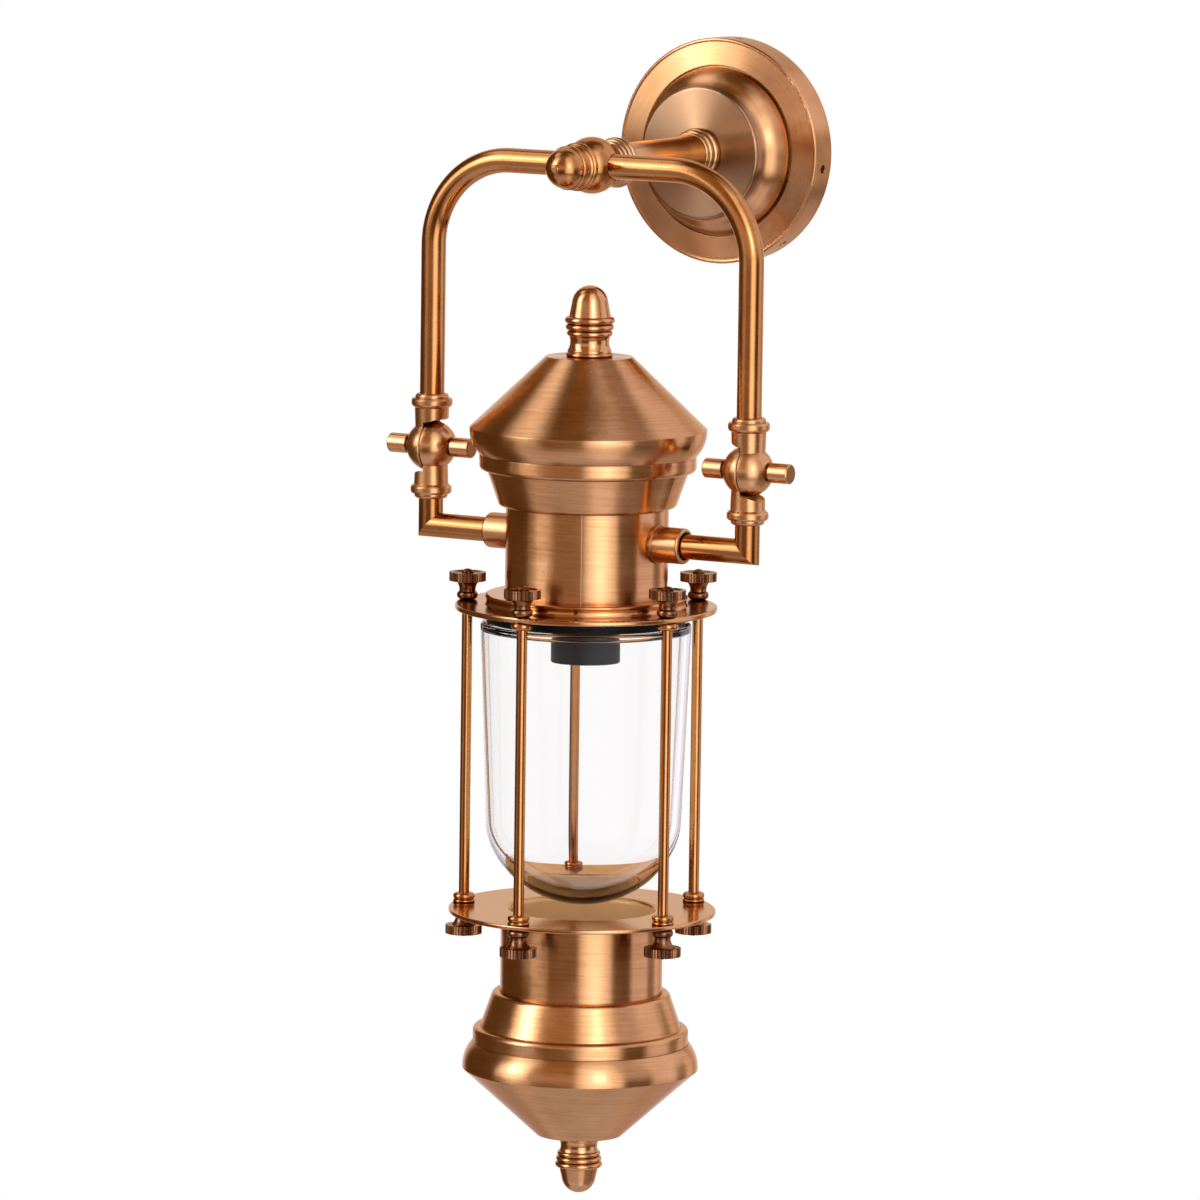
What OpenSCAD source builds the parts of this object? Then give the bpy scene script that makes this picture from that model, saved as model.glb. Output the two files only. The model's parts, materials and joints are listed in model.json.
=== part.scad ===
// Outdoor wall light with a tilting lantern hung between two knuckle joints, in antique brass.
// The origin is on the wall, on the arm's axis. -Y runs out of the wall, +Z is up.

/* [Overall] */
// Distance from the wall to the centre of the ball hub
reach = 158; // [150:1:190]
// Height of the arm's axis above the tilt axis of the lantern
drop = 165; // [160:1:210]
// Distance from the middle to each knuckle
knuckle_x = 104; // [101:1:125]

/* [Wall rose] */
// Outside diameter of the rose
rose_d = 130; // [124:1:160]
// Depth of the rose's rim
rose_depth = 18; // [16:0.5:26]
// Sheet thickness of the rose
rose_wall = 1.5; // [1:0.1:2]
// Diameter of the turned groove in the rose's face
groove_d = 97.5; // [92:0.5:104]
// Diameter of the flat disc on the dome
disc_d = 76; // [70:0.5:80]
// Height of the dome's disc above the face of the rim
dome_rise = 21; // [18:0.5:28]
// Diameter of the rim screws
rose_screw_d = 4; // [3:0.5:5]
// Angle of the first rim screw, turned from +X towards +Z
rose_screw_angle = 83; // [60:1:89]
// Angle of the drain hole in the rim
drain_angle = -53; // [-60:1:-30]
// Distance between the two wall screw slots
slot_spacing = 82; // [70:1:86]
// Width of the wall screw slots
slot_w = 5; // [4:0.5:6]
// Length of the wall screw slots
slot_len = 12; // [8:0.5:13]

/* [Arm and hub] */
// Diameter of the arm tube
arm_d = 21; // [16:0.5:24]
// Wall of the arm tube
arm_wall = 1.5; // [1:0.1:2.5]
// Diameter of the collar's base ring
collar_d = 29.2; // [28:0.2:34]
// Diameter of the ball hub
hub_d = 32; // [31:0.5:38]
// Diameter of the nose finial's base ring
nose_d = 27.2; // [24:0.2:30]
// Diameter of the thickest ring of the bead coupling
coupling_d = 28.6; // [26:0.2:32]

/* [Yoke and knuckles] */
// Diameter of the yoke tubes and elbow pipes
tube_d = 14; // [12:0.5:15]
// Wall of the yoke tubes and elbow pipes
tube_wall = 1.2; // [1:0.1:2]
// Centre-line radius of the yoke's bends
bend_r = 50; // [40:1:60]
// Diameter of the knuckle balls
ball_d = 28.8; // [28:0.2:32]
// Diameter of the knuckle collars
neckband_d = 19.6; // [18.6:0.1:21]
// Diameter of the cross studs
stud_d = 5; // [4:0.5:6]
// Diameter of the barrel nuts
barrel_d = 11.2; // [10:0.2:12]
// Length of the barrel nuts
barrel_len = 12.4; // [11:0.2:16]
// Depth of the elbow's centre line below the tilt axis
elbow_drop = 45.4; // [43:0.2:48]

/* [Lantern body] */
// Outside diameter of the neck and the lower tube
neck_d = 92; // [86:0.5:94]
// Sheet thickness of the neck, cowls and cones
sheet = 1.2; // [1:0.1:1.6]
// Diameter of the roof rim
roof_d = 134; // [131:0.5:139]
// Height of the roof rim above the tilt axis
roof_z = 17; // [15:0.5:20]
// Height of the roof cone above its rim
roof_h = 40.5; // [36:0.5:50]
// Height of the lower cone below its rim
foot_h = 38.5; // [34:0.5:46]
// Diameter of the flat on top of each cone
flat_d = 49; // [46:0.5:54]
// Height of the curved rim of each cone
rim_h = 14.7; // [12:0.1:18]
// Diameter of the band of each cowl
band_d = 122.4; // [120:0.2:126]
// Height of the band of each cowl
band_h = 9; // [7:0.5:12]
// Height of the skirt of each cowl
skirt_h = 20.3; // [17:0.1:24]
// Height of the roof finial
finial_h = 40; // [34:0.5:48]
// Diameter of the roof finial's largest ring
finial_d = 28.2; // [25:0.2:32]
// Height of the bottom finial
pendant_h = 34; // [30:0.5:44]
// Diameter of the bottom finial's largest ring
pendant_d = 26.8; // [23:0.2:30]

/* [Plates and rods] */
// Diameter of the top plate
plate_d = 148; // [146:0.5:160]
// Diameter of the bottom plate
bottom_plate_d = 151.5; // [148:0.5:160]
// Thickness of the top plate
top_plate_t = 3; // [2.5:0.1:5]
// Thickness of the bottom plate
bottom_plate_t = 2.5; // [2:0.1:4]
// Height of the neck from the tilt axis down to the top plate
neck_len = 83; // [80:0.5:95]
// Clear height between the two plates
cage_h = 170.5; // [160:0.5:205]
// Length of the lower tube from the bottom plate to the cowl's upper edge
lower_tube_len = 45.2; // [40:0.2:60]
// Diameter of the opening in the bottom plate
mouth_d = 81.5; // [76:0.5:83]
// Diameter of the circle of tie rods
rod_circle_d = 138; // [136:0.5:140]
// Diameter of the tie rods
rod_d = 6; // [5:0.5:7]
// Diameter of the threaded ends of the tie rods
rod_thread_d = 5; // [4:0.5:5]
// Diameter of the bead collars on the tie rods
bead_d = 12.6; // [11:0.2:13]
// Height of the bead collars
bead_h = 4.4; // [4:0.1:7]
// Diameter of the thumb nuts' knurled heads
thumb_d = 20.8; // [18:0.2:22]
// Height of the thumb nuts without the dome on top
thumb_h = 15.5; // [13.5:0.5:18]
// Height of the thumb nuts' knurled heads
thumb_head_h = 5; // [4:0.2:6]
// Number of serrations on a thumb nut
knurl_count = 40; // [30:2:48]

/* [Glass and lamp holder] */
// Diameter of the glass jar at its shoulder
glass_d = 119.2; // [114:0.2:121]
// Diameter of the glass jar where its round bottom starts
glass_low_d = 111; // [104:0.2:114]
// Wall of the glass jar
glass_wall = 4.5; // [3:0.5:6]
// Diameter of the glass jar's neck
glass_neck_d = 100.6; // [96:0.2:101]
// Height of the round bottom of the glass jar
glass_dome_h = 49; // [42:1:53]
// Gap between the glass jar and the level of the bottom plate
glass_gap = 2.5; // [1.5:0.5:8]
// Outside diameter of the black clamp ring
ring_d = 112; // [110:0.5:114]
// Height of the black clamp ring
ring_h = 6; // [5:0.5:10]
// Diameter of the lamp holder's skirt
holder_d = 39; // [38:0.5:42]
// Depth of the lamp holder's mouth below the top plate
holder_drop = 28.2; // [26:0.2:36]
// Inside diameter of the screw shell, for a 27 mm lamp cap
shell_d = 26.6; // [26.5:0.05:26.9]
// Length of the screw shell
shell_len = 24; // [22:0.5:26]

/* [Clearances] */
// Radial clearance of a pin that turns in a bore
turn_gap = 0.05; // [0.02:0.01:0.1]
// Radial clearance of pieces that are brazed or screwed together
seat_gap = 0.05; // [0.02:0.01:0.1]
// Gap between the two half balls of a knuckle
split_gap = 0.3; // [0.2:0.05:0.6]
// Gap of the round pocket in a knuckle collar
pocket_gap = 2.4; // [1:0.1:3]
// Gap under a nut that turns
nut_gap = 0.1; // [0.05:0.05:0.3]

/* [Hidden] */
$fn = 96;
// Overshoot of a cutting shape past the face that it cuts
cut = 1;
rose_r = rose_d / 2;
groove_r = groove_d / 2;
disc_r = disc_d / 2;
disc_y = rose_depth + dome_rise;
arm_r = arm_d / 2;
collar_r = collar_d / 2;
hub_r = hub_d / 2;
nose_r = nose_d / 2;
coupling_r = coupling_d / 2;
tube_r = tube_d / 2;
ball_r = ball_d / 2;
neckband_r = neckband_d / 2;
barrel_r = barrel_d / 2;
band_r = band_d / 2;
neck_r = neck_d / 2;
roof_r = roof_d / 2;
flat_r = flat_d / 2;
plate_r = plate_d / 2;
bottom_plate_r = bottom_plate_d / 2;
rod_circle_r = rod_circle_d / 2;
rod_thread_r = rod_thread_d / 2;
bead_r = bead_d / 2;
thumb_r = thumb_d / 2;
mouth_r = mouth_d / 2;
glass_r = glass_d / 2;
glass_low_r = glass_low_d / 2;
glass_neck_r = glass_neck_d / 2;
ring_r = ring_d / 2;
holder_r = holder_d / 2;
shell_r = shell_d / 2;

// Hollow threaded nipples and their hexagon lock nuts
nipple_r = 5;
nipple_bore_r = 3.6;
lock_across = 14;
lock_h = 4;

// Rose bracket
bracket_t = 2;
bracket_r = slot_spacing / 2 + slot_len / 2 + 5;
bracket_hole_r = 18;
lug_w = 14;
lug_gap = 0.3;
lug_t = 3;
screw_y = rose_depth / 2;
rose_screw_r = rose_screw_d / 2;
rose_screw_len = 8;
rose_screw_sink = 0.8;
socket_share = 0.5;
socket_depth = 1.6;

// Terminal block
block_w = 30;
block_h = 14;
block_d = 12;
block_z = 34;
wire_hole_r = 2;
clamp_screw_r = 1.6;

// Arm, measured from the wall
collar_base_h = 5;
collar_front_h = 7;
collar_front_r = arm_r + 2.2;
arm_socket = 5.5;
arm_start = disc_y + collar_base_h + collar_front_h - arm_socket;
flare_h = 14;
flare_extra = 0.8;
hub_spigot = 6;
coupling_socket = 4;
coupling_back = reach - hub_r - 12;
arm_end = coupling_back + coupling_socket;
hub_channel_r = 4;
yoke_socket = 7.5;
nose_stud_r = 4;
nose_stud_len = 8;

// Knuckle, measured from the ball's centre
collar_bead_start = 21.8;
collar_bead_end = 27.2;
collar_end = 30;
collar_bead_r = neckband_r + 1.9;
collar_taper = 0.5;
split_chamfer = 0.6;
tube_socket = 7.5;
ball_flat = 1.2;
stud_r = stud_d / 2;
barrel_start = ball_r - ball_flat + nut_gap;
barrel_neck_r = stud_r + 1.6;
barrel_neck_h = 1.5;
barrel_bore_end = barrel_neck_h + barrel_len - 3;
stud_end = barrel_start + barrel_bore_end - 0.6;

// Elbow and its boss on the neck
boss_r = tube_r + 3.1;
boss_end = neck_r + 18.4;
boss_socket = 8;
pipe_end = boss_end - boss_socket;
elbow_thread_end = neck_r - sheet - lock_h - 4;
lock_face = sqrt(pow(neck_r - sheet, 2) - pow(lock_across / sqrt(3), 2)) - 0.05;

// Heights of the lantern's pieces, from the tilt axis
seam_z = roof_z - rim_h;
lip_t = sheet;
lip_r = band_r - 9;
bar_t = 3;
bar_w = 16;
bar_r = band_r - 3.4;
bar_z = seam_z - lip_t - bar_t;
neck_top = seam_z + 2;
skirt_z = seam_z - band_h - skirt_h;
top_plate_z = -neck_len - top_plate_t;
bottom_plate_z = top_plate_z - cage_h;
lower_face_z = bottom_plate_z - bottom_plate_t;
lower_skirt_z = lower_face_z - lower_tube_len;
// The lower cowl and cone are the upper ones turned over, and this height maps to its own mirror image
mirror_z = lower_skirt_z + skirt_z;
lower_tube_bottom = mirror_z - neck_top;

// Cone and cowl
rim_over = 0.4;
bulge_top = 0.8;
bulge_low = rim_h - bulge_top;
bulge_step = roof_r - band_r - rim_over;
bulge_p = ((bulge_low * bulge_low - bulge_top * bulge_top) / bulge_step + bulge_step) / 2;
bulge_r = sqrt(bulge_p * bulge_p + bulge_top * bulge_top);
bulge_x = roof_r - bulge_p;
skirt_top_r = band_r - 3.8;
skirt_low_r = band_r - 10.4;
skirt_round = 2.8;
band_round = 2.4;
bolt_r = 3;
bolt_across = 10;
bolt_head_h = 4;
bolt_grip = 12;

// Neck flange and top plate
flange_r = neck_r + 11.2;
flange_h = 5.8;
flange_lid = 1.8;
spigot_r = neck_r + 5.8;
spigot_wall = 3.8;
set_screw_r = 1.5;
set_screw_angle = -65;
set_screw_z = -neck_len + flange_h / 2;
plate_round = 0.8;
cord_hole_r = 24;
mouth_round = 3;
mouth_lip = 15;

// Tie rods and thumb nuts
rod_count = 5;
rod_angle = -90;
rod_thread_len = 11.5;
rod_hole_gap = 0.1;
thumb_bead_r = 6;
thumb_bead_h = 4.9;
thumb_waist_r = 4.6;
thumb_flare_r = 7.1;
thumb_bore = 12.5;
thumb_dome_r = 3.4;
thumb_dome_h = 1.9;
knurl_depth = 0.5;

// Clamp ring, gasket and glass
gasket_t = 0.9;
ring_z = top_plate_z - ring_h;
shoulder_z = ring_z - gasket_t;
glass_neck_top = top_plate_z - 2;
glass_low_z = bottom_plate_z + glass_gap + glass_dome_h;
glass_corner = 2.2;
bowl_round = 41;
ring_screw_count = 4;
small_screw_r = 1.25;
small_head_r = 2.3;
small_head_h = 1.3;
ring_screw_circle = (ring_r + glass_neck_r) / 2;
ring_screw_angle = 22;

// Lamp holder and its strap
holder_z = top_plate_z - holder_drop;
holder_top = -neck_len + 21;
holder_skirt_h = 17;
holder_body_r = 17;
holder_cap_h = 5;
strap_t = 2;
strap_w = 14;
strap_x = 30;
strap_foot = 42;
strap_screw_x = 37;
stem_len = strap_t + lock_h + 2;
shell_wall = 0.6;
shell_inset = 3;
contact_r = 5;
contact_h = 3;

brass = "#b8763c";
polished = "#c98d55";
dark_brass = "#8a5528";
black = "#2a2528";

// Point where a line drawn from a point touches a circle. side is 1 or -1.
function touch(centre, r, point, side) =
    let (d = point - centre, a = atan2(d[1], d[0]) + side * acos(r / norm(d)))
    centre + r * [cos(a), sin(a)];

// Places a piece that is turned about the arm's axis, with its height running out of the wall
module from_wall() {
    rotate([90, 0, 0]) children();
}

// Places a piece of the lantern, whose heights count from the tilt axis
module in_lantern() {
    translate([0, -reach, -drop]) children();
}

// Places a piece of a knuckle. side is 1 for the right, -1 for the left, and X runs outwards on both.
module at_knuckle(side) {
    translate([side * knuckle_x, -reach, -drop]) mirror([side < 0 ? 1 : 0, 0, 0]) children();
}

// Turns a piece over into its place at the lantern's foot
module turned_over() {
    translate([0, 0, mirror_z]) mirror([0, 0, 1]) children();
}

// Copies a piece to every tie rod
module at_rods() {
    for (k = [0 : rod_count - 1]) at_rod(k) children();
}

module at_rod(k) {
    rotate([0, 0, rod_angle + k * 360 / rod_count]) translate([rod_circle_r, 0, 0]) children();
}

// Outline of a rounded bead from the axis out to r, between two heights
module bead_2d(r, low, high) {
    round_r = (high - low) / 2;
    translate([0, low]) square([r - round_r, high - low]);
    translate([r - round_r, low + round_r]) circle(round_r);
}

// Outline of a plate with rounded edges, from the axis out to r
module plate_2d(r, t, round_r) {
    square([r - round_r, t]);
    translate([0, round_r]) square([r, t - 2 * round_r]);
    for (z = [round_r, t - round_r]) translate([r - round_r, z]) circle(round_r);
}

// Ball turned about the X axis between two distances along it, so that a bore along X takes both its poles
module ball_x(r, from, to) {
    rotate([0, 90, 0]) rotate_extrude() intersection() {
        circle(r);
        translate([0, from]) square([r + cut, to - from]);
    }
}

module hexagon(across, h) {
    cylinder(h = h, d = across / cos(30), $fn = 6);
}

module lock_nut() {
    difference() {
        hexagon(lock_across, lock_h);
        translate([0, 0, -cut]) cylinder(h = lock_h + 2 * cut, r = nipple_r + seat_gap);
    }
}

// Wall rose

// S-shaped flank that starts upright at [r0, y0], swells, hollows and ends upright at [r1, y1]
module ogee_2d(r0, y0, r1, y1, low_share) {
    turn = 2 * atan((r0 - r1) / (y1 - y0));
    total = (y1 - y0) / sin(turn);
    low_r = total * low_share;
    high_r = total - low_r;
    mid = [r0 - low_r * (1 - cos(turn)), y0 + low_r * sin(turn)];
    translate([0, y0]) intersection() {
        translate([r0 - low_r, 0]) circle(low_r);
        square([r0, mid[1] - y0]);
    }
    translate([0, y0]) square([r0 - low_r, mid[1] - y0]);
    difference() {
        translate([0, mid[1]]) square([mid[0], y1 - mid[1]]);
        translate([r1 + high_r, y1]) circle(high_r);
    }
}

// Outline of the rose out to its sheet's outer face, or with inset to its inner face
module rose_solid_2d(inset) {
    face_y = rose_depth - 0.6;
    disc_edge = 1.4;
    square([rose_r - max(inset, 1.2), face_y - inset]);
    square([rose_r - inset, rose_depth - 1.2 - inset]);
    ogee_2d(groove_r - 0.5 - inset, face_y - inset, disc_r - 0.5 - inset, disc_y - disc_edge - inset, 0.62);
    translate([0, disc_y - 2 * disc_edge - inset]) bead_2d(disc_r - inset, 0, 2 * disc_edge);
}

module rose_cover() {
    face_y = rose_depth - 0.6;
    color(brass) from_wall() difference() {
        rotate_extrude() difference() {
            union() {
                rose_solid_2d(0);
                translate([rose_r - 1.2, rose_depth - 1.2]) circle(1.2);
                polygon([[0, face_y - 0.5], [rose_r - 1.2, face_y - 0.5], [rose_r - 1.2, face_y],
                    [groove_r + 1.2, rose_depth + 0.3], [0, rose_depth + 0.3]]);
            }
            rose_solid_2d(rose_wall);
            translate([0, -cut]) square([rose_r - rose_wall, cut + 2]);
            translate([groove_r - 1, face_y - 0.3]) square([1.6, 3]);
        }
        cylinder(h = disc_y + cut, r = nipple_r + seat_gap);
        rim_holes(rose_screw_r + 0.5);
        rotate([0, 0, drain_angle]) rim_hole(rose_screw_r + 0.5);
    }
}

module rim_hole(r) {
    translate([rose_r - 6, 0, screw_y]) rotate([0, 90, 0]) cylinder(h = 8, r = r);
}

module rim_holes(r) {
    for (k = [0 : 3]) rotate([0, 0, rose_screw_angle + 90 * k]) rim_hole(r);
}

module rose_bracket() {
    lug_r = rose_r - rose_wall - lug_gap;
    color("silver") from_wall() difference() {
        union() {
            cylinder(h = bracket_t, r = bracket_r);
            intersection() {
                for (k = [0 : 3]) rotate([0, 0, rose_screw_angle + 90 * k]) translate([0, -lug_w / 2, 0]) {
                    cube([rose_r, lug_w, bracket_t]);
                    translate([lug_r - lug_t - 1, 0, 0]) cube([rose_r, lug_w, screw_y + lug_w / 3]);
                }
                cylinder(h = rose_depth, r = lug_r);
            }
        }
        translate([0, 0, -cut]) cylinder(h = bracket_t + 2 * cut, r = bracket_hole_r);
        for (side = [-1, 1]) translate([side * slot_spacing / 2, 0, -cut]) slot(bracket_t + 2 * cut);
        rim_holes(rose_screw_r + seat_gap);
        translate([0, block_z, -cut]) cylinder(h = bracket_t + 2 * cut, r = clamp_screw_r);
    }
}

module slot(h) {
    straight = slot_len - slot_w;
    for (side = [-1, 1]) translate([side * straight / 2, 0, 0]) cylinder(h = h, d = slot_w);
    translate([-straight / 2, -slot_w / 2, 0]) cube([straight, slot_w, h]);
}

// Headless screws sunk in the rim, with a hexagon socket
module rose_screws() {
    color(dark_brass) from_wall() for (k = [0 : 3]) rotate([0, 0, rose_screw_angle + 90 * k])
        translate([rose_r - rose_screw_sink, 0, screw_y]) rotate([0, -90, 0]) difference() {
            cylinder(h = rose_screw_len, r = rose_screw_r);
            translate([0, 0, -cut]) hexagon(rose_screw_d * socket_share, socket_depth + cut);
        }
}

// Three-way block, screwed to the bracket through its middle
module terminal_block() {
    color("white") from_wall() translate([0, block_z, bracket_t]) difference() {
        translate([-block_w / 2, -block_h / 2, 0]) cube([block_w, block_h, block_d]);
        for (x = [-10, 0, 10]) {
            translate([x + 2.5, 0, block_d / 2]) rotate([90, 0, 0])
                cylinder(h = block_h + 2 * cut, r = wire_hole_r, center = true);
            translate([x + 2.5, 0, block_d / 2]) cylinder(h = block_d, r = clamp_screw_r);
        }
        translate([-4, 0, -cut]) cylinder(h = block_d + 2 * cut, r = clamp_screw_r);
    }
}

// Arm, hub and nose

module arm_collar() {
    front_y = collar_base_h + collar_front_h;
    color(polished) from_wall() translate([0, 0, disc_y]) rotate_extrude() difference() {
        union() {
            bead_2d(collar_r, 0, collar_base_h);
            bead_2d(collar_front_r + 0.9, collar_base_h, collar_base_h + 4);
            translate([0, collar_base_h + 3]) square([collar_front_r - 0.8, collar_front_h - 3]);
            bead_2d(collar_front_r - 0.2, front_y - 2, front_y);
        }
        translate([0, -cut]) square([nipple_r + seat_gap, front_y + 2 * cut]);
        translate([0, front_y - arm_socket]) square([arm_r + seat_gap, arm_socket + cut]);
    }
}

module arm_tube() {
    flare_y = disc_y + collar_base_h + collar_front_h;
    color(brass) from_wall() rotate_extrude() difference() {
        union() {
            translate([0, arm_start]) square([arm_r, arm_end - arm_start]);
            polygon([[0, flare_y], [arm_r + flare_extra, flare_y], [arm_r, flare_y + flare_h], [0, flare_y + flare_h]]);
        }
        translate([0, arm_start - cut]) square([arm_r - arm_wall, arm_end - arm_start + 2 * cut]);
    }
}

module arm_nipple() {
    low = disc_y - rose_wall - lock_h - 3;
    color(dark_brass) from_wall() translate([0, 0, low]) difference() {
        cylinder(h = arm_start - low, r = nipple_r);
        translate([0, 0, -cut]) cylinder(h = arm_start - low + 2 * cut, r = nipple_bore_r);
    }
}

module arm_lock_nut() {
    color(dark_brass) from_wall() translate([0, 0, disc_y - rose_wall - lock_h]) lock_nut();
}

// Four rings that grow towards the wall, with a spigot in the hub and a socket for the arm tube
module bead_coupling() {
    front = coupling_back + 12;
    color(polished) from_wall() difference() {
        rotate_extrude() union() {
            bead_2d(coupling_r, coupling_back, coupling_back + 3.8);
            bead_2d(coupling_r - 0.7, coupling_back + 3.8, coupling_back + 6.8);
            bead_2d(coupling_r - 1.7, coupling_back + 6.8, coupling_back + 9.6);
            bead_2d(coupling_r - 2.8, coupling_back + 9.6, front);
            translate([0, coupling_back]) square([8, front + hub_spigot + 1.2 - coupling_back]);
        }
        translate([0, 0, coupling_back - cut]) cylinder(h = coupling_socket + cut, r = arm_r + seat_gap);
        cylinder(h = reach, r = hub_channel_r);
    }
}

module yoke_hub() {
    spigot_face = reach - (coupling_back + 12 + hub_spigot + 1.2);
    color(brass) translate([0, -reach, 0]) difference() {
        ball_x(hub_r, -hub_r, hub_r);
        for (side = [0, 180]) rotate([0, 90 + side, 0]) {
            cylinder(h = hub_r + cut, r = hub_channel_r);
            translate([0, 0, hub_r - yoke_socket]) cylinder(h = hub_r, r = tube_r + seat_gap);
        }
        rotate([-90, 0, 0]) {
            cylinder(h = hub_r + cut, r = hub_channel_r);
            translate([0, 0, spigot_face]) cylinder(h = hub_r, r = 8 + seat_gap);
        }
        rotate([90, 0, 0]) translate([0, 0, hub_r - 2 - nose_stud_len]) cylinder(h = hub_r, r = nose_stud_r + seat_gap);
    }
}

// Acorn at the front of the hub, seated on the ball
module nose_finial() {
    color(polished) translate([0, -reach, 0]) rotate([90, 0, 0]) difference() {
        rotate_extrude() union() {
            translate([0, hub_r - 1.6 - nose_stud_len]) square([nose_stud_r, nose_stud_len + 2]);
            translate([0, 11]) square([9.4, 5]);
            bead_2d(nose_r, 14.2, 18.4);
            difference() {
                translate([0, 16]) square([nose_r - 1.3, 9.5]);
                translate([nose_r + 0.3, 21.8]) circle(3.2);
            }
            bead_2d(nose_r - 1.2, 24.8, 27.6);
            translate([0, 27]) square([nose_r - 2.1, 1.2]);
            nose_dome_2d();
        }
        rotate_extrude() difference() {
            circle(hub_r + seat_gap);
            translate([-hub_r - cut, -hub_r - cut]) square([hub_r + cut, 2 * (hub_r + cut)]);
            square([nose_stud_r, hub_r + cut]);
        }
    }
}

module nose_dome_2d() {
    dome_r = nose_r - 2.1;
    intersection() {
        translate([0, 28]) circle(dome_r);
        translate([0, 27.5]) square([dome_r, dome_r + cut]);
    }
    translate([0, 28 + dome_r - 0.8]) square([1.8, 1.4]);
    translate([0, 28 + dome_r]) bead_2d(2.5, -0.5, 1.5);
}

// Yoke

module yoke_tube(side) {
    leg_low = -drop + collar_end - tube_socket;
    start = hub_r - yoke_socket;
    color(brass) translate([0, -reach, 0]) mirror([side < 0 ? 1 : 0, 0, 0]) {
        translate([start, 0, 0]) rotate([0, 90, 0]) pipe(knuckle_x - bend_r - start);
        translate([knuckle_x - bend_r, 0, -bend_r]) rotate([90, 0, 0]) rotate_extrude(angle = 90)
            translate([bend_r, 0]) pipe_2d();
        translate([knuckle_x, 0, leg_low]) pipe(-bend_r - leg_low);
    }
}

module pipe_2d() {
    difference() {
        circle(tube_r);
        circle(tube_r - tube_wall);
    }
}

module pipe(h) {
    linear_extrude(height = h) pipe_2d();
}

module yoke_tube_left() {
    yoke_tube(-1);
}

module yoke_tube_right() {
    yoke_tube(1);
}

// Outline of a knuckle collar: tapered neck, broad band with eased edges and a rounded ring round the tube
module collar_2d() {
    ring_r = neckband_r - 0.3;
    ease = 1.8;
    polygon([[0, ball_r / 2], [neckband_r - collar_taper, ball_r / 2], [neckband_r, collar_bead_start],
        [collar_bead_r - 0.5, collar_bead_start + 1.1], [collar_bead_r, collar_bead_start + 2],
        [collar_bead_r, collar_bead_end - 1], [collar_bead_r - 0.7, collar_bead_end], [0, collar_bead_end]]);
    translate([0, collar_bead_end - cut]) square([ring_r, collar_end - ease - collar_bead_end + cut]);
    translate([0, collar_bead_end - cut]) square([ring_r - ease, collar_end - collar_bead_end + cut]);
    translate([ring_r - ease, collar_end - ease]) circle(ease);
}

// Half ball with its stepped collar. The collar's other side is cut back round the half ball that turns under it.
module half_knuckle() {
    face = split_gap / 2;
    difference() {
        union() {
            rotate([0, 90, 0]) rotate_extrude() intersection() {
                circle(ball_r);
                polygon([[0, face], [ball_r - split_chamfer, face], [ball_r + cut, face + split_chamfer + cut],
                    [ball_r + cut, ball_r - ball_flat], [0, ball_r - ball_flat]]);
            }
            difference() {
                rotate_extrude() collar_2d();
                translate([-2 * collar_bead_r, 0, 0]) rotate([0, 90, 0])
                    cylinder(h = 2 * collar_bead_r + face, r = ball_r + pocket_gap);
            }
        }
        rotate([0, 90, 0]) cylinder(h = ball_r + cut, r = stud_r + turn_gap);
        translate([0, 0, collar_end - tube_socket]) cylinder(h = tube_socket + cut, r = tube_r + seat_gap);
    }
}

module upper_knuckle(side) {
    color(brass) at_knuckle(side) half_knuckle();
}

module lower_knuckle(side) {
    color(brass) at_knuckle(side) rotate([0, 180, 0]) half_knuckle();
}

module upper_knuckle_left() {
    upper_knuckle(-1);
}

module upper_knuckle_right() {
    upper_knuckle(1);
}

module lower_knuckle_left() {
    lower_knuckle(-1);
}

module lower_knuckle_right() {
    lower_knuckle(1);
}

module pivot_stud(side) {
    color(dark_brass) at_knuckle(side) rotate([0, 90, 0]) cylinder(h = 2 * stud_end, r = stud_r, center = true);
}

module pivot_stud_left() {
    pivot_stud(-1);
}

module pivot_stud_right() {
    pivot_stud(1);
}

// Plain round nut on a narrow neck, with a blind bore and eased ends
module barrel_nut(side, out) {
    end = barrel_neck_h + barrel_len;
    color(brass) at_knuckle(side) rotate([0, out * 90, 0]) translate([0, 0, barrel_start]) rotate_extrude()
        difference() {
            polygon([[0, 0], [barrel_neck_r, 0], [barrel_neck_r, barrel_neck_h], [barrel_r - 0.4, barrel_neck_h],
                [barrel_r, barrel_neck_h + 0.4], [barrel_r, end - 0.6], [barrel_r - 0.6, end], [0, end]]);
            translate([0, -cut]) square([stud_r + turn_gap, barrel_bore_end + cut]);
        }
}

module barrel_nut_left_outer() {
    barrel_nut(-1, 1);
}

module barrel_nut_left_inner() {
    barrel_nut(-1, -1);
}

module barrel_nut_right_inner() {
    barrel_nut(1, -1);
}

module barrel_nut_right_outer() {
    barrel_nut(1, 1);
}

// Rod with a mitred corner below the knuckle, from the knuckle's collar to run inwards of the knuckle
module mitred_rod(r, run) {
    top = elbow_drop - collar_end + tube_socket;
    translate([0, 0, -elbow_drop]) {
        intersection() {
            translate([0, 0, -2 * r]) cylinder(h = top + 2 * r, r = r);
            mitre_half(45);
        }
        intersection() {
            translate([-run, 0, 0]) rotate([0, 90, 0]) cylinder(h = run + 2 * r, r = r);
            mitre_half(225);
        }
    }
}

// One side of the mitre plane, which runs from the inner to the outer corner
module mitre_half(turn) {
    side = 2 * (elbow_drop + knuckle_x);
    rotate([0, turn, 0]) translate([-side / 2, -side / 2, 0]) cube(side);
}

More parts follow.
